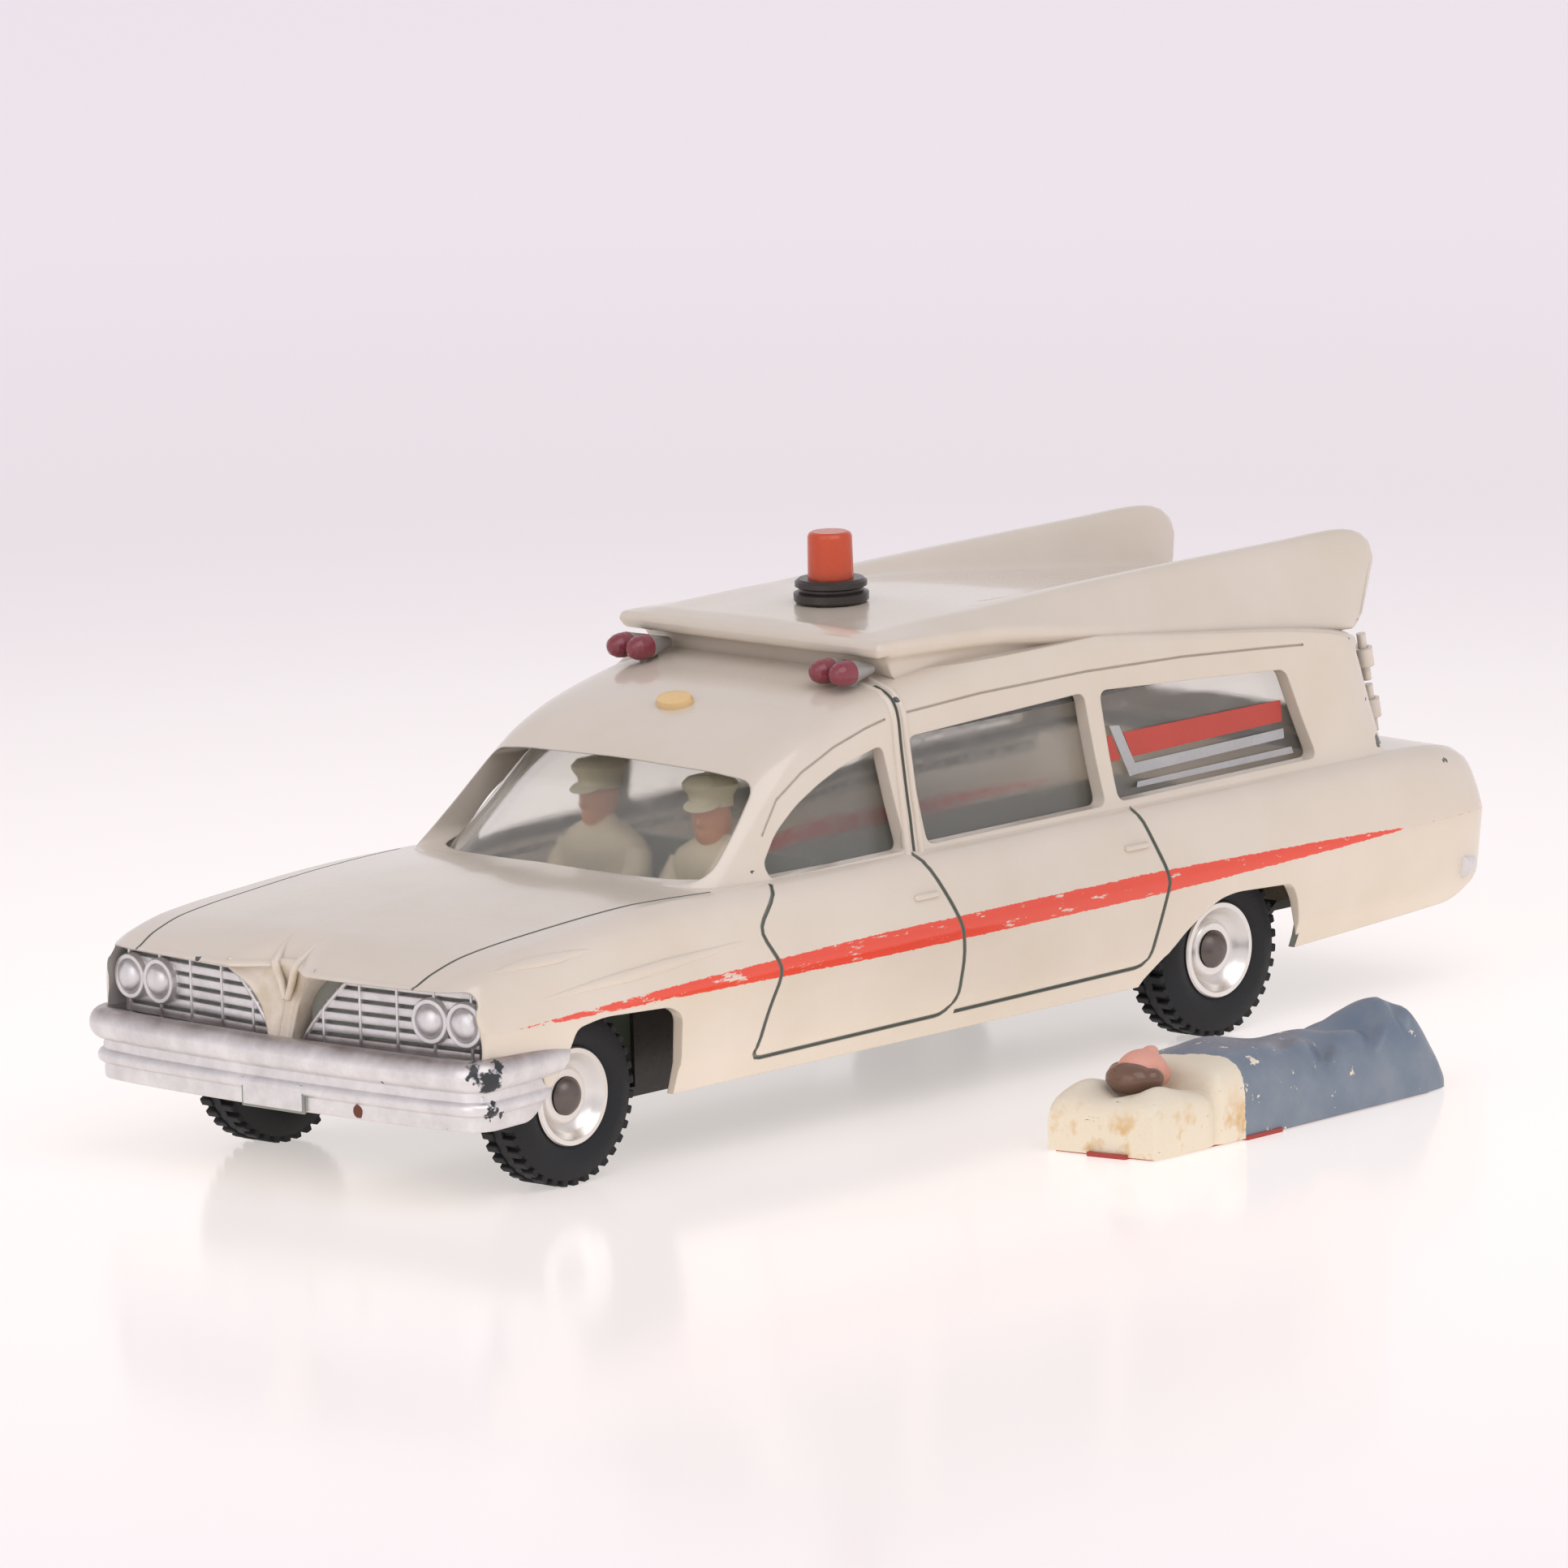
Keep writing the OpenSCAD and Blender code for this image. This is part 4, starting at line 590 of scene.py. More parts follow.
# Openings in the body and the cabin
openings = {
    "windowTopZ": 30.6, "round": 0.9, "tyreR": 7.4, "frontAxleX": 47.3, "rearAxleX": -31.2,
    "wellInnerY": 11.8, "archY": (15, 26), "archRound": 1.3, "windowY": (12, 21),
    "screenX": (14, 36), "screenRound": 1.4, "doorX": (-60, -49), "doorGap": 0.25, "tailRound": 2.4,
    "doorwayZ": (10, 40),
    "frontWindow": [[0.118, 0.02], [0.113, 0.16], [0.136, 0.4], [0.168, 0.6], [0.2, 0.74],
        [0.236, 0.86], [0.292, 0.97], [0.304, 0.02]],
    "middleWindow": [[0.328, 0.99], [0.332, 0.03], [0.581, 0.03], [0.574, 1.05]],
    "rearWindow": [[0.596, 1.04], [0.599, 0.04], [0.882, 0.05], [0.857, 0.88]],
    "screen": [[0.915, 0.07], [0.876, 0.45], [0.825, 0.84], [0.6, 0.89], [0, 0.91]],
    "frontArch": [[-1.5, -0.9], [-1.38, 0.74], [-1.16, 0.86], [-0.04, 0.93], [0.38, 0.87],
        [0.46, 0.68], [0.56, 0.46], [0.77, 0.22], [1.04, 0.0], [1.3, -0.08], [1.3, -0.9]],
    "rearArch": [[1.58, -0.9], [1.52, -0.18], [0.88, 0.37], [0.34, 0.67], [0.05, 0.71],
        [-0.9, 0.66], [-1.02, 0.48], [-1.12, -0.02], [-1.12, -0.9]],
    "tail": [[0.785, 0.03], [0.962, 0.155], [0.985, 0.32], [1.012, 0.66]],
    "wells": [["frontAxleX", 20.1, 9.7], ["rearAxleX", 19.4, 8.6]]}


def windowPoint(across, share):
    return across, bodyForm["beltZ"] + share * (openings["windowTopZ"] - bodyForm["beltZ"])


def archCutters():
    o = openings
    r = o["tyreR"]
    cutters = []
    for axle, name in (("frontAxleX", "frontArch"), ("rearAxleX", "rearArch")):
        outline = [(o[axle] + x * r, r + z * r) for x, z in o[name]]
        cutters += sideCuts(filleted(outline, o["archRound"]), *o["archY"])
    return cutters


def wellCutters():
    o = openings
    cutters = []
    for axle, outerY, r in o["wells"]:
        depth = outerY - o["wellInnerY"]
        for side in (1, -1):
            well = spunForm([(0, 0), (r, 0), (r, depth), (0, depth)], 48)
            place = turnAt((o[axle], side * outerY, o["tyreR"]), 90 * side, "X")
            # The wells' walls take mark 1, the dark painted shade
            cutters.append(marked(turned(well, place), 1))
    return cutters


# Mark 1 paints the groove's walls with the dark painted shade
def ribbonCutter(points, normals, width, depth, mark=1, lift=0.6, flare=1.3):
    rings = []
    for i, (p, n) in enumerate(zip(points, normals)):
        low = ahead(points, i).cross(n).normalized() * width / 2
        high, down, up = low * flare, n * depth, n * lift
        rings.append([p - low - down, p + low - down, p + high + up, p - high + up])
    return marked(ringForm(rings), mark)


# Shut lines follow the body's side, found by looking in from outside
shutLines = {
    "width": 0.36, "bonnetWidth": 0.22, "depth": 0.27, "step": 0.9, "outsideY": 40, "aboveZ": 60,
    "round": 1.2,
    "frontDoor": [[0.311, 1.0], [0.282, 0.8], [0.298, 0.57], [0.287, 0.37], [0.276, 0.1],
        [0.457, 0.112], [0.468, 0.2], [0.471, 0.42], [0.466, 0.62], [0.452, 0.88], [0.444, 1.0]],
    "rearDoor": [[0.468, 0.112], [0.652, 0.125], [0.661, 0.36], [0.668, 0.6], [0.66, 0.78],
        [0.653, 1.0]],
    "bonnet": [[0.002, 0.745], [0.02, 0.757], [0.045, 0.765], [0.12, 0.775], [0.195, 0.79],
        [0.26, 0.84]]}


def hitsOn(tree, starts, toward):
    hits = [tree.ray_cast(start, Vector(toward)) for start in starts]
    hits = [h for h in hits if h[0] is not None]
    return [h[0] for h in hits], [h[1] for h in hits]


def sideHits(tree, points, side, step):
    path = stepped([Vector(p) for p in points], step)
    starts = [Vector((p.x, side * shutLines["outsideY"], p.y)) for p in path]
    return hitsOn(tree, starts, (0, -side, 0))


def shutCutters(bodyTree):
    b, s = bodyForm, shutLines
    cutters = []
    for side in (1, -1):
        for name in ("frontDoor", "rearDoor"):
            flat = [(bodyX(x), b["sillZ"] + h * (b["beltZ"] - b["sillZ"])) for x, h in s[name]]
            hits = sideHits(bodyTree, filleted(flat, s["round"], 3, closed=False), side, s["step"])
            # Shut-line grooves take mark 1, the dark painted shade
            cutters.append(ribbonCutter(*hits, s["width"], s["depth"]))
        bonnet = [Vector((bodyX(x), side * y * b["halfWidth"])) for x, y in s["bonnet"]]
        starts = [Vector((p.x, p.y, s["aboveZ"])) for p in stepped(bonnet, s["step"])]
        hits = hitsOn(bodyTree, starts, (0, 0, -1))
        cutters.append(ribbonCutter(*hits, s["bonnetWidth"], s["depth"]))
    return cutters


# Front end: pockets for the grille, slats, posts, twin lamps and the wrapped bumper
front = {
    "pocketDepth": 2.5, "footZ": 12.7, "rise": 5.9, "lampD": 3.8, "lampY": 18.95, "lampStep": 3.62,
    "lampRise": 0.46, "slats": 6, "posts": 5, "sink": 0.45, "bumperUp": 0.25, "bumperWidth": 46.0,
    "bumperD": 2.7, "wrap": 13.0, "reach": 1.3, "apronZ": 7.0, "grilleShares": (0.075, 0.26, 0.955),
    "slant": 1.25, "postStep": 3.87, "lampDome": 0.85, "lampBack": -0.55, "apronThick": 1.2,
    "apronBack": 1.1, "lowBack": 0.7, "plateSize": (0.5, 6.7, 2.0), "plateEdge": (0.34, 7.1, 2.4),
    "plateZ": 8.1, "overriders": [[60.9, 21.4], [61.9, 19.3]], "overriderSize": (0.7, 0.35, 1.3),
    "overriderZ": 9.3,
    "pocket": [[0.062, -0.1], [1.0, -0.1], [1.008, 0.1], [0.985, 0.78], [0.95, 0.95], [0.2, 0.95],
        [0.165, 0.86]],
    "bumperPlan": [[0, 0], [0.02, 0.45], [0.05, 0.76], [0.095, 0.955], [0.18, 1], [0.6, 0.975],
        [1, 0.93]],
    "lampRim": [[0, 1.9], [0.1, 2.05], [0.42, 2.05], [0.55, 1.75]]}
frontTurn = atan(bodyForm["sweep"] / bodyForm["halfWidth"])
pocketX = bodyForm["noseX"] - front["pocketDepth"]
frontPlace = Matrix.Translation((pocketX, 0, 0)) @ Matrix.Rotation(frontTurn, 4, "Z")


def pocketCutters():
    f = front
    outline = [(y * bodyForm["halfWidth"], f["footZ"] + h * f["rise"]) for y, h in f["pocket"]]
    # The pocket's walls take mark 2, the grey painted shade
    pocket = marked(turned(prismForm(filleted(outline, 0.9, 4), "x", 0, 6), frontPlace), 2)
    return [pocket.copy(), turned(pocket, mirror)]


def bumperPath(d, back):
    half = (front["bumperWidth"] - d) / 2 - back
    tip = bodyForm["noseX"] + front["reach"] - back - d / 2
    plan = [Vector((tip - s * front["wrap"], y * half)) for s, y in front["bumperPlan"]]
    return stepped(filleted(mirrored(plan[:0:-1]) + plan, 2.2, 6, closed=False), 0.8)


def barForm(path, section):
    rings = []
    for i, p in enumerate(path):
        along = ahead(path, i)
        spots = [(p + Vector((along.y, -along.x)) * offset, z) for offset, z in section]
        rings.append([Vector((spot.x, spot.y, z)) for spot, z in spots])
    return ringForm(rings)


# Beak between the grille halves: it rolls in under the bonnet's lip, with two raised lines
# that meet in a ridge
prowForm = {
    "steps": 36, "around": 32, "backX": 57.8, "openX": 60.2, "ridge": 0.5, "ridgeHalf": 0.55,
    "armZ": 16.4, "armR": (0.1, 0.26, 0.34, 0.36, 0.36, 0.34, 0.28),
    "opening": [[-4.9, 18.25], [-2.6, 15], [-1.7, 12.3], [1.7, 12.3], [2.6, 15], [4.9, 18.25]],
    "rows": [[12.2, 1.35, 62.2, 62.5], [13.1, 1.45, 61.9, 62.4], [15.0, 2.05, 61.3, 62.4],
        [16.5, 2.95, 61.0, 62.7], [17.5, 4.0, 61.05, 63.1], [18.1, 4.7, 61.15, 63.4],
        [18.6, 4.9, 61.15, 63.4], [18.9, 4.9, 60.9, 63.1]],
    "arms": [[58.8, 1.75, 20.38], [60.1, 1.55, 19.66], [60.8, 1.4, 19.12], [61.5, 1.2, 18.6],
        [61.55, 0.95, 18.0], [61.45, 0.6, 17.1], [61.55, 0.12, 15.7]]}


def makeProw():
    p = prowForm
    low, high = p["rows"][0][0], p["rows"][-1][0]
    rings = []
    for i in range(p["steps"] + 1):
        z = low + (high - low) * i / p["steps"]
        _, half, middleX, edgeX = rowAt(p["rows"], z)
        below = clamped((p["armZ"] + 0.6 - z) / 1.2)
        ring = []
        for j in range(p["around"] + 1):
            t = 2 * j / p["around"] - 1
            crest = p["ridge"] * max(1 - abs(t * half) / p["ridgeHalf"], 0.0) * below
            ring.append(Vector((middleX + (edgeX - middleX) * abs(t)**2.2 + crest, t * half, z)))
        rings.append(ring + [Vector((p["backX"], side * half * 0.92, z)) for side in (1, -1)])
    arms = tubeForm([Vector(point) for point in p["arms"]], p["armR"], 10)
    form = joined([ringForm(rings, 1e-3), bothSides(arms)])
    finished("prow", form, [creamEnamel], 40)


def makeLowerBody(outer, bodyTree):
    b, o, f = bodyForm, openings, front
    cavity = bodySolid(b["wall"], *b["cavity"], 2)
    doorway = [cabinPoint(m / 8, 0.0, b["wall"] + 0.4) for m in range(25)]
    plan = [p.xy for p in doorway + mirrored(doorway[-2:0:-1])]
    # The doorway's walls take mark 1, the dark painted shade
    well = marked(prismForm(plan, "z", *o["doorwayZ"]), 1)
    tail = [(bodyX(s), b["sillZ"] + h * (b["creaseZ"] - b["sillZ"])) for s, h in o["tail"]]
    tail = [tuple(p) for p in filleted(tail, o["tailRound"], 8, closed=False)]
    tailCut = prismForm(tail + [(tail[-1][0], 0), (tail[0][0], 0)], "y", -farY, farY)
    fromX, apronZ = o["frontAxleX"], f["apronZ"]
    apron = [(fromX, 0), (farX, 0), (farX, apronZ), (fromX, apronZ)]
    apronCut = prismForm(apron, "y", -farY, farY)
    nose = [p.xy for p in bumperPath(f["apronThick"], f["apronBack"])]
    nose += [(farX, farY), (farX, -farY)]
    noseCut = prismForm(nose, "z", -1, f["footZ"] - f["bumperD"] / 2)
    # The beak's opening walls take mark 2, the grey painted shade
    prowCut = marked(prismForm(prowForm["opening"], "x", prowForm["openX"], farX), 2)
    cutters = shutCutters(bodyTree) + pocketCutters() + [prowCut, noseCut, tailCut, apronCut]
    cutters += archCutters() + wellCutters() + [cavity, well]
    finished("bodyLower", carved(outer, cutters), [creamEnamel, grooveShade, recessShade],
             30, ["body_shell"])


bodyOuter = bodySolid(0.0, 0.0, 1.0, bodyForm["stations"])
bodyTree = BVHTree.FromBMesh(bodyOuter)
makeLowerBody(bodyOuter, bodyTree)

# Trim of the sides: pillar beads, wing ridges and door handles, and the cut drip rails
trimForm = {
    "beadWidth": 0.62, "beadHeight": 0.32, "railWidth": 0.16, "railDepth": 0.16, "step": 0.7,
    "handles": [[7.0, 18.0], [-19.0, 18.2]], "handleSize": (2.9, 0.55, 0.5), "ridgeWidth": 1.0,
    "ridgeHeight": 0.2, "ridgeTaper": 0.4, "grooveWidth": 0.3, "grooveDepth": 0.3, "cutStep": 0.9,
    "beads": [[[6.5, 20.9], [6.1, 24], [5.9, 28], [5.7, 32], [5.6, 36.4]], [[4.9, 20.9], [4.6, 24],
        [4.5, 28], [4.5, 32], [4.6, 36.4]]],
    "rails": [[[22.6, 25.0], [20.2, 27.6], [17.0, 29.4], [13.0, 30.9], [9.0, 31.9], [6.6, 32.3]],
        [[4.0, 32.5], [-5, 32.8], [-18, 32.75], [-30, 32.3], [-40, 31.6], [-45, 31.2]]],
    "ridges": [[[55.0, 16.7], [47.5, 16.95], [42.8, 17.05], [34, 17.4], [27.5, 17.7]],
        [[58.8, 19.4], [54.5, 19.6], [46, 19.6]]]}


def beadForm(points, normals, width, height, taper=0.0, sides=8):
    rings = []
    last = len(points) - 1
    for i, (p, n) in enumerate(zip(points, normals)):
        full = min(min(i, last - i) / (taper * last), 1.0) if taper else 1.0
        across = ahead(points, i).cross(n).normalized() * width * (0.2 + 0.8 * full) / 2
        turns = [a * pi / sides for a in range(sides + 1)]
        arc = [p + across * cos(a) + n * (height * full * sin(a) - 0.02) for a in turns]
        rings.append(arc + [p - across - n * 0.3, p + across - n * 0.3])
    return ringForm(rings)


def makeTrim(cabinTree, bodyTree):
    t = trimForm
    forms = []
    for side in (1, -1):
        for points in t["beads"]:
            hits = sideHits(cabinTree, points, side, t["step"])
            forms.append(beadForm(*hits, t["beadWidth"], t["beadHeight"]))
        for points in t["ridges"]:
            hits = sideHits(bodyTree, points, side, t["step"])
            forms.append(beadForm(*hits, t["ridgeWidth"], t["ridgeHeight"], t["ridgeTaper"]))
        for spot in t["handles"]:
            (hit,), (normal,) = sideHits(bodyTree, [spot], side, 1)
            forms.append(boxForm(t["handleSize"], hit + normal * 0.05, 0.2, 3))
    finished("bodyTrim", joined(forms), [creamEnamel], 45)


def makeCabin(bodyTree):
    o, t = openings, trimForm
    outer = cabinSolid(0.0, -0.09, 1.0, cabinForm["levels"])
    cabinTree = BVHTree.FromBMesh(outer)
    makeTrim(cabinTree, bodyTree)
    cutters = [cabinSolid(bodyForm["wall"], -0.2, 1.0, 20, 2)]
    groove = [[(a[0] + b[0]) / 2, a[1]] for a, b in zip(*t["beads"])]
    for side in (1, -1):
        for points in t["rails"]:
            hits = sideHits(cabinTree, points, side, t["cutStep"])
            cutters.append(ribbonCutter(*hits, t["railWidth"], t["railDepth"], 0))
        hits = sideHits(cabinTree, groove, side, t["cutStep"])
        # The groove between the pillar beads takes the dark painted shade
        cutters.append(ribbonCutter(*hits, t["grooveWidth"], t["grooveDepth"]))
    for name in ("frontWindow", "middleWindow", "rearWindow"):
        outline = [windowPoint(cabinX(s), h) for s, h in o[name]]
        cutters += sideCuts(filleted(outline, o["round"]), *o["windowY"])
    left = [windowPoint(y * cabinForm["width"] / 2, h) for y, h in o["screen"]]
    screen = left + [(-y, z) for y, z in reversed(left[:-1])]
    cutters.append(prismForm(filleted(screen, o["screenRound"]), "x", *o["screenX"]))
    doorLow, doorHigh = ((corner / mm).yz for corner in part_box("rear_door"))
    lowY, highY = doorLow.x - o["doorGap"], doorHigh.x + o["doorGap"]
    lowZ, highZ = doorLow.y - floorZ / mm, doorHigh.y - floorZ / mm
    doorCut = [(lowY, lowZ), (highY, lowZ), (highY, highZ), (lowY, highZ)]
    cutters.append(prismForm(doorCut, "x", *o["doorX"]))
    finished("bodyCabin", carved(outer, cutters), [creamEnamel, grooveShade], 30)


makeCabin(bodyTree)

# Raised roof with fins: sections along the car, each a rounded outline over the riser that
# stands on the cabin
roofForm = {
    "lipX": 5.4, "length": 58.4, "width": 29.7, "z": 39.1, "finZ": 39.3, "finGap": 22.6,
    "stations": 90, "lipR": 0.7, "bulge": 1.5, "rearBevel": 0.45,
    "rows": [[0.0, 0.974, 0.979, 0.984, 0.988, 0.946, 0.0],
        [0.022, 0.974, 0.985, 0.991, 0.995, 0.942, 0.0],
        [0.042, 0.973, 0.985, 0.992, 0.996, 0.892, 0.0],
        [0.16, 0.965, 0.988, 0.996, 1.0, 0.886, 0.0],
        [0.27, 0.954, 0.991, 0.995, 0.998, 0.882, 0.0],
        [0.47, 0.908, 0.998, 0.975, 0.977, 0.87, 0.0], [0.69, 0.87, 1.0, 0.936, 0.931, 0.841, 0.1],
        [0.86, 0.839, 1.0, 0.903, 0.895, 0.811, 0.45],
        [0.94, 0.823, 1.0, 0.884, 0.874, 0.803, 0.62], [0.972, 0.818, 0.99, 0.875, 0.864, 0.8, 0.7],
        [0.99, 0.814, 0.968, 0.87, 0.858, 0.799, 0.75],
        [1.0, 0.812, 0.938, 0.868, 0.856, 0.798, 0.77]],
    "lipShares": [0, 0.008, 0.016, 0.022, 0.027, 0.032, 0.037, 0.042]}


def roofSection(share):
    r = roofForm
    row = rowAt(r["rows"], share)
    y, c, under, edge = r["width"] / 2, r["finGap"] / 2, row[5] * r["z"], row[1] * r["z"]
    foot = row[3] * r["z"]
    rise = max(row[2] * r["finZ"] - foot, 0.0)
    crest = foot + rise
    half = [(0, row[4] * r["z"]), (0.4 * c, (row[4] + 0.25 * (row[3] - row[4])) * r["z"]),
            (0.78 * c, foot), (0.90 * c, foot + 0.82 * rise), (c * 0.96, crest),
            (c * 1.05, crest - 0.02), (1.10 * c, crest - 0.12 * (crest - edge)),
            (0.99 * y, edge + 0.3), (y, edge - 0.35), (0.972 * y, max(edge - 1.15, under + 0.02)),
            (0.93 * y, max(edge - 1.5, under + 0.01)), (0.915 * y, under)]
    x = r["lipX"] - share * r["length"]
    reach = r["bulge"] * max((share - 0.86) / 0.14, 0.0)
    left = []
    for p in filleted(half, 0.9, 4, closed=False):
        up = p.y - under
        bulge = reach * sin(pi * clamped(up / (r["finZ"] - under), 0, 1))
        left.append(Vector((x - row[6] * up - bulge, p.x, p.y)))
    return left + mirrored(left[:0:-1])


def makeRoof():
    r = roofForm
    count, lipEnd = r["stations"], r["lipShares"][-1]
    shares = r["lipShares"] + [lipEnd + (1 - lipEnd) * (i + 1) / count for i in range(count)]
    sections = [roofSection(share) for share in shares]
    lip = sections[0]
    middle = (max(p.z for p in lip) + min(p.z for p in lip)) / 2
    nose = []
    for a in (i * pi / 10 for i in range(5, 0, -1)):
        push, narrow = r["lipR"] * sin(a), 1 - 0.02 * (1 - cos(a))
        nose.append([Vector((p.x + push, p.y * narrow, middle + (p.z - middle) * cos(a)))
                     for p in lip])
    form = ringForm(nose + sections, 1e-3)
    rearX = r["lipX"] - 0.9 * r["length"]
    rear = [e for e in form.edges if e.calc_face_angle(0) > radians(50)
            and all(v.co.x < rearX for v in e.verts)]
    rounded(form, rear, r["rearBevel"], 3)
    finished("bodyRoof", form, [creamEnamel], 38)


makeRoof()
makeProw()


# Grille slats, posts, lamps, bumper and plate, painted silver
def makeFrontEnd():
    f = front
    half = bodyForm["halfWidth"]
    inner, spread, outer = (share * half for share in f["grilleShares"])
    low, tall = f["footZ"] - f["sink"], f["rise"] * 0.95 + f["sink"]
    pitch = tall / f["slats"]

    def slantY(share):
        return inner + spread * share**f["slant"]

    pieces = []
    for i in range(f["slats"]):
        y = slantY((i + 0.35) / f["slats"])
        centre = (0.55, (y + outer) / 2, low + (i + 0.5) * pitch)
        pieces.append(boxForm((0.8, outer - y, pitch * 0.72), centre, 0.12))
    for i in range(f["posts"]):
        y = f["lampY"] + 0.45 - i * f["postStep"]
        top = low + min(max((y - inner) / spread, 0.05)**0.8, 1.0) * tall
        pieces.append(boxForm((1.0, 0.26, top - low), (0.6, y, (low + top) / 2), 0.08))
    rim = [Vector((0.85, slantY(t / 8), low + tall * t / 8)) for t in range(9)]
    pieces.append(tubeForm(rim, (0.2,) * 9, 10))
    # A dark sheet behind the slats, painted shade of the grille's recess
    pieces.append(marked(boxForm((0.5, half * 0.86, tall), (0.1, half * 0.535, low + tall / 2)), 1))
    lampR, lampZ = f["lampD"] / 2, f["footZ"] + f["lampRise"] * f["rise"]
    ring = [(0, 0), (lampR, 0)] + [(lampR - inset, z) for inset, z in f["lampRim"]]
    lensR, lensZ = ring[-1]
    turns = [a * pi / 16 for a in range(1, 9)]
    dome = [(lensR * cos(a), lensZ + f["lampDome"] * sin(a)) for a in turns]
    for i in range(2):
        spot = (f["lampBack"], f["lampY"] - i * f["lampStep"], lampZ)
        pieces.append(turned(spunForm(ring + dome, 40), turnAt(spot, 90, "Y")))
    forms = [bothSides(turned(joined(pieces), frontPlace))]
    d, z, thick = f["bumperD"], f["footZ"] - f["bumperD"] / 2 + f["bumperUp"], f["apronThick"]
    upper = [(x * (0.95 if x > 0 else 0.8), z + y) for x, y in circle(24, d / 2)]
    lower = [(x, z - d + y) for x, y in circle(16, thick / 2)]
    apron = [(thick / 2, f["apronZ"]), (thick / 2, z), (-thick / 2, z), (-thick / 2, f["apronZ"])]
    for path, section in ((bumperPath(d, 0), upper), (bumperPath(thick, f["lowBack"]), lower),
                          (bumperPath(thick, f["apronBack"]), filleted(apron, 0.3, 3))):
        forms.append(carved(barForm(path, section), archCutters()))
    plate = (bodyForm["noseX"] + f["reach"] - 1.05, 0.1, f["plateZ"])
    forms.append(boxForm(f["plateSize"], plate, 0.15))
    # The dark rim round the plate is painted shade of its outline
    forms.append(marked(boxForm(f["plateEdge"], plate, 0.12), 1))
    for side in (1, -1):
        for x, y in f["overriders"]:
            forms.append(boxForm(f["overriderSize"], (x, side * y, f["overriderZ"]), 0.1))
    finished("frontEnd", joined(forms), [silverPaint, grooveShade], 35)


makeFrontEnd()

# Rear bumper: a low roll across the tail, turned in at its ends
rearBar = {
    "d": 1.9, "z": 10.2,
    "path": [[-60.5, 19.4], [-62.6, 18.4], [-63.7, 16.6], [-64.1, 13], [-64.1, 0]]}


def makeRearBar():
    r = rearBar
    half = filleted(r["path"], 1.2, 4, closed=False)
    path = stepped(mirrored(half) + half[-2::-1], 0.9)
    ring = [(x, r["z"] + y) for x, y in circle(20, r["d"] / 2)]
    finished("rearBar", barForm(path, ring), [silverPaint], 35)


makeRearBar()

# Clear moulding behind the windows
glassForm = {
    "gap": 1.3, "thick": 0.6, "low": -0.03, "high": 0.76, "end": 0.9, "steps": 14,
    "colour": (0.955, 0.945, 0.915, 1)}


def makeGlass():
    g = glassForm
    marks = [i / 30 for i in range(31)] + [1 + i / 10 for i in range(1, 10)]

    def path(share, inset):
        left = [cabinPoint(m, share, inset) for m in marks]
        left.append(Vector((cabinX(g["end"]), left[-1].y, left[-1].z)))
        return mirrored(left[:0:-1]) + left

    rings = []
    for i in range(g["steps"] + 1):
        share = g["low"] + (g["high"] - g["low"]) * i / g["steps"]
        rings.append(path(share, g["gap"]) + path(share, g["gap"] + g["thick"])[::-1])
    kit = newKit("clearMoulding", **{"Base Color": g["colour"], "IOR": 1.45,
                                     "Transmission Weight": 0.95})
    kit.paint("Roughness", kit.range(kit.noise(0.5, 5.0, 0.7), 0.35, 0.75, 0.03, 0.16))
    finished("windowGlazing", ringForm(rings, 1e-3), [kit.material], 40,
             ["window_glazing"])
    return kit.material


clearMoulding = makeGlass()

# Print on the rear quarter windows: a red band with grey lines round it, its lettering left off
printForm = {
    "lift": 0.04, "thick": 0.03,
    "red": [[[-20.0, 26.8], [-21.4, 26.8], [-22.1, 24.7], [-20.3, 24.7]], [[-22.9, 26.85],
        [-42.6, 26.75], [-42.4, 25.0], [-23.5, 24.75]]],
    "grey": [[[-21.3, 27.6], [-22.5, 27.5], [-23.7, 24.2], [-42.4, 24.4], [-42.3, 23.6],
        [-23.7, 23.3], [-22.8, 23.2]], [[-23.6, 22.65], [-43.0, 22.8], [-43.1, 22.25],
        [-23.4, 22.2]]]}


def makePrint():
    f = printForm
    red = plainFinish("printRed", (0.44, 0.055, 0.04), (0.35, 0.5), shade=0.25)
    grey = plainFinish("printGrey", (0.42, 0.42, 0.43), (0.3, 0.5), shade=0.35, Metallic=0.3)
    forms = []
    for index, name in enumerate(("red", "grey")):
        for outline in f[name]:
            form = prismForm(outline, "y", 0, f["thick"])
            for v in form.verts:
                share = (v.co.z - bodyForm["beltZ"]) / (cabinForm["topZ"] - bodyForm["beltZ"])
                v.co.y += cabinPoint(1.5, share, glassForm["gap"] - f["lift"]).y
            forms.append(bothSides(marked(form, index)))
    finished("windowPrint", joined(forms), [red, grey], 30)


makePrint()

# Wheels: spun hubs and treaded tyres
wheelForm = {
    "track": 32.4, "tyreWidth": 4.3, "lugs": 36, "hubR": 4.1, "lugDepth": 0.5}
hubKit = newKit("spunHub", Metallic=1.0)
hubKit.grain((0.80, 0.77, 0.74), 0.7, 0.10, (0.27, 0.33))


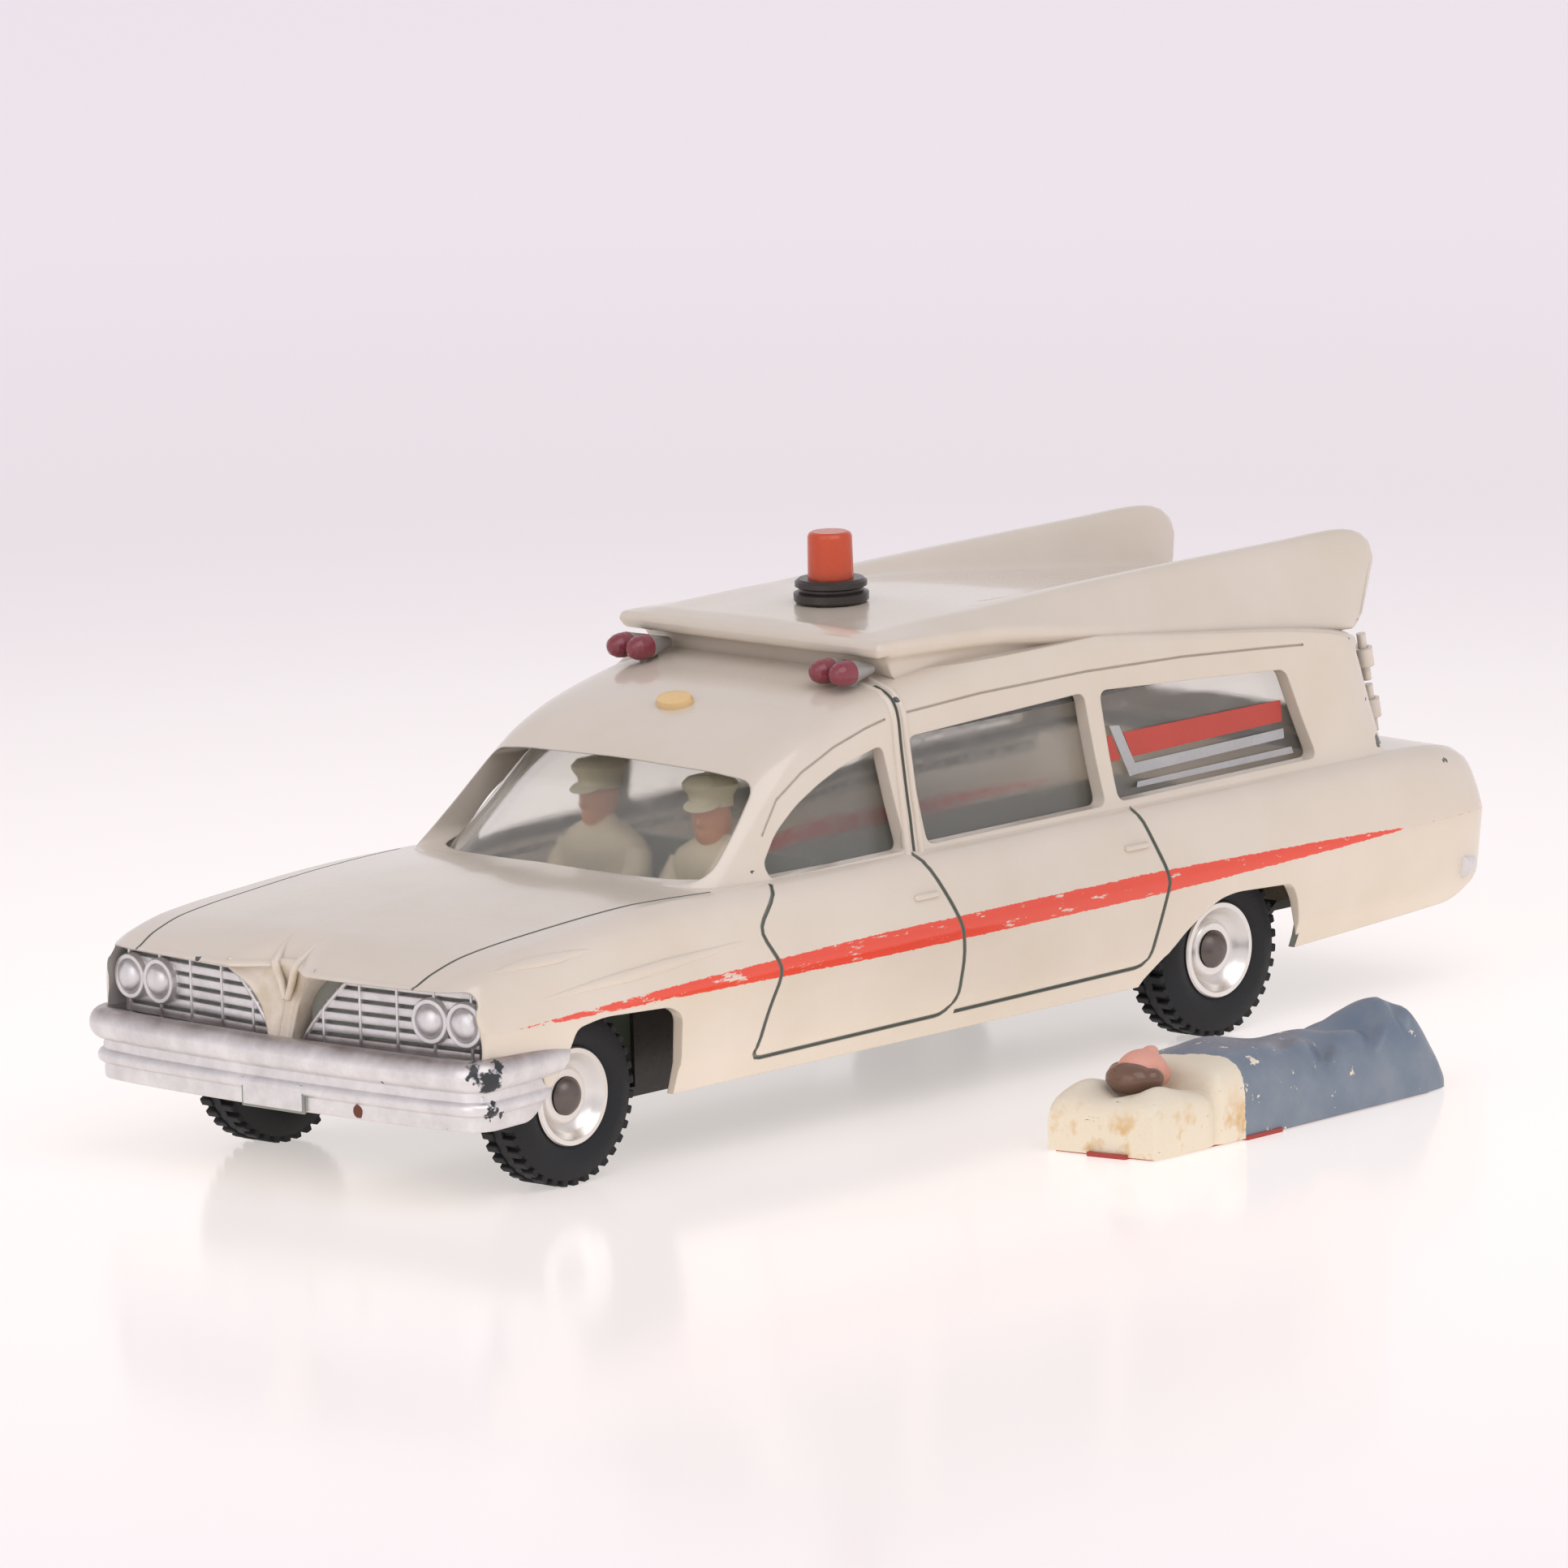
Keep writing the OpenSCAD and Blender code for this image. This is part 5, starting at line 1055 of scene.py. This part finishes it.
def makeWheel(axleX, side, end, hand):
    w, tyreR = wheelForm, openings["tyreR"]
    name, body = end.title() + hand.title(), f"wheel_{end}_{hand}"
    r, h, core = w["hubR"], w["tyreWidth"] / 2, tyreR - w["lugDepth"]
    place = turnAt((axleX, side * w["track"] / 2, tyreR), -90 * side, "X")
    face = h - 0.1
    hub = [(1.0, -h + 0.3), (r, -h + 0.3), (r, face - 0.15), (r - 0.12, face), (r - 0.5, face),
           (r - 0.62, face - 0.1), (r - 0.95, face - 0.62), (2.75, face - 1.0), (2.4, face - 1.18),
           (2.3, face - 0.95), (2.15, face - 0.85), (1.0, face - 0.85)]
    finished("hub" + name, turned(spunForm(hub, 96), place), [hubKit.material], 28,
             [f"hub_{end}_{hand}"], body)
    bead, belly, foot = 0.8 * h, (r + core) / 2, r + 0.03
    half = [(core + 0.3, 0.45), (core, 0.5), (core, bead), (core - 0.3, bead + 0.15), (belly, h),
            (r + 0.4, bead + 0.22), (foot, bead)]
    forms = [spunForm([(d, -z) for d, z in reversed(half)] + half + [(foot, -bead)], 108)]
    size = (w["lugDepth"] + 0.3, 0.68, bead - 0.42)
    lugX = tyreR - w["lugDepth"] / 2 - 0.15
    for i in range(w["lugs"]):
        for row in (-1, 1):
            lug = boxForm(size, (lugX, 0, row * (bead + 0.5) / 2), 0.09, 1)
            angle = (i + (0.25 if row > 0 else 0)) * 2 * pi / w["lugs"]
            forms.append(turned(lug, Matrix.Rotation(angle, 4, "Z")))
    finished("tyre" + name, turned(joined(forms), place), [tyreRubber], 35,
             [f"tyre_{end}_{hand}"], body)


for end in ("front", "rear"):
    for side, hand in ((1, "left"), (-1, "right")):
        makeWheel(openings[end + "AxleX"], side, end, hand)

# Finishes of the pieces that keep their solids
for material, names in ((blackEnamel, "baseplate"), (bareSteel, "base_rivets steering_pivot"),
                        (darkSteel, "steering_block front_axle rear_axle"),
                        (trayGreen, "interior_tray steering_wheel"),
                        (creamEnamel, "rear_door rear_door_pin"),
                        (clearMoulding, "rear_door_glass"),
                        (beaconBlack, "beacon_base"), (beaconOrange, "beacon_lens"),
                        (lampGrey, "roof_lamp_left roof_lamp_right"),
                        (lensMaroon, "roof_lamp_lens_left roof_lamp_lens_right")):
    for name in names.split():
        nodes[name].data.materials.clear()
        nodes[name].data.materials.append(material)
print("solids painted")

# Cream stud on the roof, ahead of the lip
studForm = {
    "place": (14.9, 0, 33.25), "lean": 19, "stretch": (0.74, 1.08, 1),
    "profile": [(0, -0.6), (1.62, -0.6), (1.7, 0.3), (1.55, 0.62), (1.2, 0.74), (0, 0.78)]}


def makeStud():
    s = studForm
    place = turnAt(s["place"], s["lean"], "Y") @ Matrix.Diagonal((*s["stretch"], 1))
    form = turned(spunForm(s["profile"], 40), place)
    finished("roofStud", form, [studCream], replaces=["roof_stud"])


makeStud()

# Crew: lofted torso, arms, head and peaked cap, eased together where the casting is soft
crewForm = {
    "around": 32, "levels": 30, "head": (1.75, 1.55, 2.15), "voxel": 0.13,
    "armR": (1.2, 1.2, 1.1, 0.95, 0.6),
    "torso": [[12.9, 2.5, 3.3, -0.9], [15.5, 2.6, 3.6, -0.9], [18.4, 2.7, 4.1, -0.5],
        [20.2, 2.6, 4.35, -0.2], [21.4, 2.2, 3.9, 0.0], [22.2, 1.7, 2.7, 0.1],
        [22.8, 1.2, 1.5, 0.2], [23.6, 1.0, 1.1, 0.3]],
    "cap": [(0, 25.55), (1.75, 25.55), (1.82, 26.35), (2.3, 27.05), (2.32, 27.35), (1.9, 27.8),
        (0.9, 28.05), (0, 28.1)],
    "arm": [(-0.1, 3.7, 20.4), (0.7, 4.3, 18.6), (2.1, 4.2, 17.2)]}
crewPaints = [plainFinish("uniformCream", (0.93, 0.82, 0.60), (0.45, 0.6), shade=0.18),
              plainFinish("skinTan", (0.80, 0.34, 0.155), (0.45, 0.6), shade=0.25),
              plainFinish("capPale", (0.83, 0.77, 0.55), (0.45, 0.6), shade=0.2)]


def makeFigure(name, node, place, reach, face):
    c = crewForm
    low, high = c["torso"][0][0], c["torso"][-1][0]
    rings = []
    for i in range(c["levels"] + 1):
        z = low + i / c["levels"] * (high - low)
        _, deep, wide, middle = rowAt(c["torso"], z)
        rings.append([Vector((middle + deep * x, wide * y, z)) for x, y in circle(c["around"])])
    body = [ringForm(rings)]
    arm = [Vector(p) for p in c["arm"] + [(reach * 0.7, 3.4, 17.4), (reach, 2.6, 17.8)]]
    body += [tubeForm(path, c["armR"]) for path in (arm, mirrored(arm))]
    torso = marked(remeshed(body, c["voxel"], 4), 0)
    turn = turnAt((0.3, 0, 0), face, "Z")
    skull, jaw = ballForm(c["head"], (0.1, 0, 24.6)), ballForm((1.25, 1.15, 1.2), (0.55, 0, 23.3))
    nose = ballForm((0.5, 0.34, 0.5), (1.85, 0, 24.35), 12)
    head = marked(turned(remeshed([skull, jaw, nose], c["voxel"], 3), turn), 1)
    peak = turned(ballForm((1.5, 1.6, 0.16), (0, 0, 0), 24), turnAt((1.35, 0, 25.75), 18, "Y"))
    button = ballForm((0.28, 0.28, 0.3), (0.3, 0, 28.15), 10)
    cap = marked(turned(joined([spunForm(c["cap"], 40), peak, button]), turn), 2)
    form = turned(joined([torso, head, cap]), Matrix.Translation(place))
    finished(name, form, crewPaints, 40, [node])


makeFigure("driverFigure", "driver", (18.2, 7.3, 0.25), 4.0, 12)
makeFigure("attendantFigure", "attendant", (16.4, -7.0, 0.05), 2.6, -4)

# Patient: one casting whose cross-sections run from the pillow to the feet, with painted zones
patientForm = {
    "middleY": 44.9, "low": 0.14, "steps": 110, "around": 60, "headPlace": (8.8, 44.6, 6.0),
    "edge": 2.7, "slant": -0.25, "cloth": (0.66, 0.595, 0.485), "stainAndShade": (0.54, 0.335, 0.12),
    "scratch": (0.05, 0.05, 0.055), "blanket": (0.125, 0.165, 0.225),
    "blanketPale": (0.175, 0.21, 0.262), "voxel": 0.14,
    "rows": [[-28.2, 3.7, 1.6, 0.5], [-27.6, 3.9, 2.6, 0.5], [-26.0, 4.1, 4.4, 0.5],
        [-24.0, 4.3, 6.4, 0.5], [-22.4, 4.4, 7.5, 0.52], [-20.4, 4.45, 7.6, 0.54],
        [-18.8, 4.5, 7.0, 0.56], [-17.0, 4.6, 6.2, 0.58], [-11.0, 4.75, 6.2, 0.56],
        [-6.0, 4.9, 6.7, 0.54], [-2.0, 5.05, 7.2, 0.5], [1.5, 5.15, 7.0, 0.42],
        [3.6, 5.2, 6.5, 0.36], [4.4, 5.15, 5.9, 0.32], [5.0, 4.75, 4.4, 0.32], [5.6, 5.1, 4.6, 0.3],
        [9.0, 5.35, 5.2, 0.28], [12.0, 5.35, 5.1, 0.28], [13.6, 5.3, 4.6, 0.28],
        [14.15, 5.15, 3.9, 0.3]],
    "valleys": [[1.3, 13.2, 0.9, 1.5, 3.0, 5], [1.1, 18.6, 0.7, 1.2, 3.4, 4],
        [0.9, 22.2, 0.4, 0.9, 2.6, 4], [0.5, 9.0, 1.2, 2.0, 2.0, 6]]}


def mound(x, y, middle, spread):
    return exp(-((x - middle[0])**2 / spread[0] + (y - middle[1])**2 / spread[1]))


def patientPoint(x, row, a):
    f = patientForm
    c, high = cos(a), max(sin(a), 0.0)**row[3]
    y = (1 if c > 0 else -1) * abs(c)**row[3] * row[1]
    dip = 1.5 * mound(x, y, (9.2, -0.3), (9, 4.5)) - 0.55 * mound(x, abs(y), (11, 3.6), (5, 1.6))
    fold = 0.30 * sin(0.85 * x + 0.9 * y) * exp(-((x + 17)**2) / 40)
    fold += 0.14 * sin(0.55 * x - 0.8 * y + 1)
    valley = 0.0
    for deep, back, lean, narrow, middle, spread in f["valleys"]:
        valley += deep * mound(x - lean * y, y, (-back, middle), (narrow, spread))
    soft = clamped((3.0 - x) / 3)
    z = f["low"] + (row[2] - f["low"] - dip - soft * (valley - fold)) * high
    slope = 0.06 * (y + 5.4) * max((x - 9) / 4, 0.0)
    feet = 0.45 * (y + 4) * clamped((-19 - x) / 9)
    return Vector((x - slope * 1.8 + feet, f["middleY"] + y, max(z, f["low"])))


def makePatientPaint():
    f = patientForm
    kit = newKit("patientPaint")
    x, y, z = kit.axes()
    tilt = kit.times(kit.minus(y, f["middleY"]), f["slant"])
    ragged = kit.times(kit.minus(kit.noise(0.9, 4.0), 0.5), 0.9)
    beyond = kit.minus(kit.plus(kit.plus(tilt, f["edge"]), ragged), x)
    nearEdge = kit.range(beyond, 7.0, 0.0, 0.0, 0.085)
    chipped = kit.range(kit.plus(kit.noise(0.75, 4.0), nearEdge), 0.69, 0.70)
    cover = kit.times(kit.range(beyond, 0.0, 0.08), kit.minus(1.0, chipped))
    stains = kit.times(kit.range(kit.noise(0.33, 4.0), 0.54, 0.68), kit.range(z, 5.5, 1.5))
    scratches = kit.range(kit.noise(1.2, 6.0, 0.7, stretch=(0.6, 0.35, 1.6)), 0.66, 0.69)
    cloth = kit.mix(scratches, kit.mix(stains, f["cloth"], f["stainAndShade"]), f["scratch"])
    blanket = kit.mix(kit.range(kit.noise(0.25, 4.0), 0.35, 0.7), f["blanket"], f["blanketPale"])
    kit.grain(kit.mix(cover, cloth, blanket), 3.0, 0.12, (0.3, 0.46), 0.15)
    return kit.material


def makePatient():
    f = patientForm
    low, high = f["rows"][0][0], f["rows"][-1][0]
    turns = [j * pi / f["around"] for j in range(f["around"] + 1)]
    rings = []
    for i in range(f["steps"] + 1):
        x = low + i / f["steps"] * (high - low)
        row = rowAt(f["rows"], x)
        rings.append([patientPoint(x, row, a) for a in turns])
    hair = plainFinish("hairBrown", (0.14, 0.075, 0.05), (0.16, 0.26), shade=0.15, bump=0.0)
    face = plainFinish("facePink", (0.62, 0.30, 0.235), (0.4, 0.55), shade=0.2)

    def lump(balls, smooth, mark):
        middle = Vector(f["headPlace"])
        forms = [ballForm(radii, middle + Vector(shift)) for radii, shift in balls]
        return marked(remeshed(forms, f["voxel"], smooth), mark)

    head = lump([((2.3, 2.0, 1.85), (-1.1, -0.2, 0.1)), ((0.8, 0.6, 0.5), (-2.2, -0.2, 1.6)),
                 ((1.2, 1.5, 1.2), (-2.5, -0.1, -0.3))], 6, 2)
    crown = lump([((1.7, 2.3, 1.35), (0.55, 0, -0.2)), ((1.0, 0.9, 0.9), (-0.3, 1.75, -0.2)),
                  ((1.0, 0.9, 0.9), (-0.1, -1.75, 0))], 8, 1)
    finished("patientCasting", joined([ringForm(rings, 1e-3), head, crown]),
             [makePatientPaint(), hair, face], 50, ["patient"], "patient_set")


makePatient()

# Stretcher pan, seen only where the casting above it has worn back
stretcherForm = {
    "high": 0.36,
    "outline": [[-24.5, -4.0], [13.7, -4.7], [13.3, -1.2], [13.95, -1.1], [13.4, 2.6], [12.75, 2.6],
        [12.4, 4.7], [1.6, 4.75], [1.4, 5.3], [-3.0, 5.2], [-3.2, 4.6], [-22.5, 3.9]]}


def makeStretcher():
    s = stretcherForm
    outline = [(x, y + patientForm["middleY"]) for x, y in s["outline"]]
    finished("stretcherPan", prismForm(outline, "z", 0, s["high"]), [stretcherRed],
             30, ["stretcher"], "patient_set")


makeStretcher()

# Camera at the photograph's angle
cameraLook = {
    "place": (1159.3, 1091.98, 304.6), "azimuth": 133.34, "elevation": 9.98, "roll": -1.62,
    "lens": 446.46}


def makeCamera():
    look = cameraLook
    az, el, roll = (radians(look[key]) for key in ("azimuth", "elevation", "roll"))
    back = Vector((sin(az) * cos(el), -cos(az) * cos(el), sin(el)))
    right = Vector((cos(az), sin(az), 0))
    up = back.cross(right)
    columns = (right * cos(roll) + up * sin(roll), up * cos(roll) - right * sin(roll), back)
    data = bpy.data.cameras.new("photoCamera")
    data.lens, data.sensor_width, data.clip_end = look["lens"], 36, 20
    camera = bpy.data.objects.new("photoCamera", data)
    turn = Matrix([[c[i] for c in columns] for i in range(3)]).to_4x4()
    camera.matrix_world = Matrix.Translation(toFrame @ Vector(look["place"])) @ turn
    scene.collection.objects.link(camera)
    scene.camera = camera


makeCamera()
print("camera placed")

# Pale floor: round the car it glows warm like a light table, which only diffuse rays see; camera,
# glossy and transmission rays see a paler painted glow there that lightens the car's shadow on the
# floor
stageLook = {
    "half": 4.0, "floor": (0.9, 0.86, 0.885), "near": (0.5, 0.475, 0.48), "far": (0.78, 0.72, 0.77),
    "fadeR": (200, 500), "glow": (1.0, 0.9, 0.78), "glowLevel": 1.2, "glowR": (70, 300),
    "nearSeenGlow": (0.5, 0.4725, 0.4525), "farTint": (0.16, 0.145, 0.165)}


def makeStage():
    s = stageLook
    bm = bmesh.new()
    bmesh.ops.create_grid(bm, x_segments=8, y_segments=8, size=s["half"],
                          matrix=Matrix.Translation((0, 0, floorZ)))
    kit = newKit("paleFloor", **{"Roughness": 0.14, "Specular IOR Level": 0.06,
                                 "Emission Strength": 1.0})
    reach = kit.vector("LENGTH", kit.place, out="Value")
    fade = kit.range(reach, *s["fadeR"])
    lit = kit.range(reach, s["glowR"][1], s["glowR"][0])
    black = (0, 0, 0)
    kit.paint("Base Color", kit.mix(lit, kit.mix(fade, s["floor"], s["far"]), s["near"]))
    path = kit.node("LightPath").outputs
    mirrored = kit.math("MAXIMUM", path["Is Glossy Ray"], path["Is Transmission Ray"])
    shown = kit.math("MAXIMUM", path["Is Camera Ray"], mirrored)
    warm = kit.mix(lit, black, tuple(c * s["glowLevel"] for c in s["glow"]))
    # Painted light: the glow seen near the car fills in the car's shadow; far off it keeps the
    # floor pale
    seenGlow = kit.mix(fade, kit.mix(lit, black, s["nearSeenGlow"]), s["farTint"])
    kit.paint("Emission Color", kit.mix(shown, warm, seenGlow))
    floor = looseObject("stageFloor", bm)
    floor.data.materials.append(kit.material)
    floor.data.shade_smooth()


makeStage()
print("stage laid")

# Soft room light and two area lamps
lightLook = {
    "zenith": (0.57, 0.535, 0.555), "horizon": (0.9, 0.86, 0.88),
    "lamps": [("keyLight", (0.15, 0.55, 0.8), 0.8, 3.2), ("frontLight", (0.9, 0.1, 0.45), 0.7,
        1.6)]}


def makeLights():
    look = lightLook
    scene.world = bpy.data.worlds.new("softRoom")
    scene.world.use_nodes = True
    kit = NodeKit(scene.world.node_tree)
    kit.place = kit.node("TexCoord").outputs["Generated"]
    sky = kit.mix(kit.range(kit.axes()[2], 0.1, 0.9), look["horizon"], look["zenith"])
    kit.fill(kit.tree.nodes["Background"].inputs["Color"], sky)
    for name, spot, size, power in look["lamps"]:
        data = bpy.data.lights.new(name, "AREA")
        data.size, data.energy = size, power
        lamp = bpy.data.objects.new(name, data)
        turn = Vector(spot).to_track_quat("Z", "Y").to_matrix().to_4x4()
        lamp.matrix_world = Matrix.Translation(spot) @ turn
        scene.collection.objects.link(lamp)


makeLights()
print("lights set")
scene.view_settings.view_transform = "Standard"
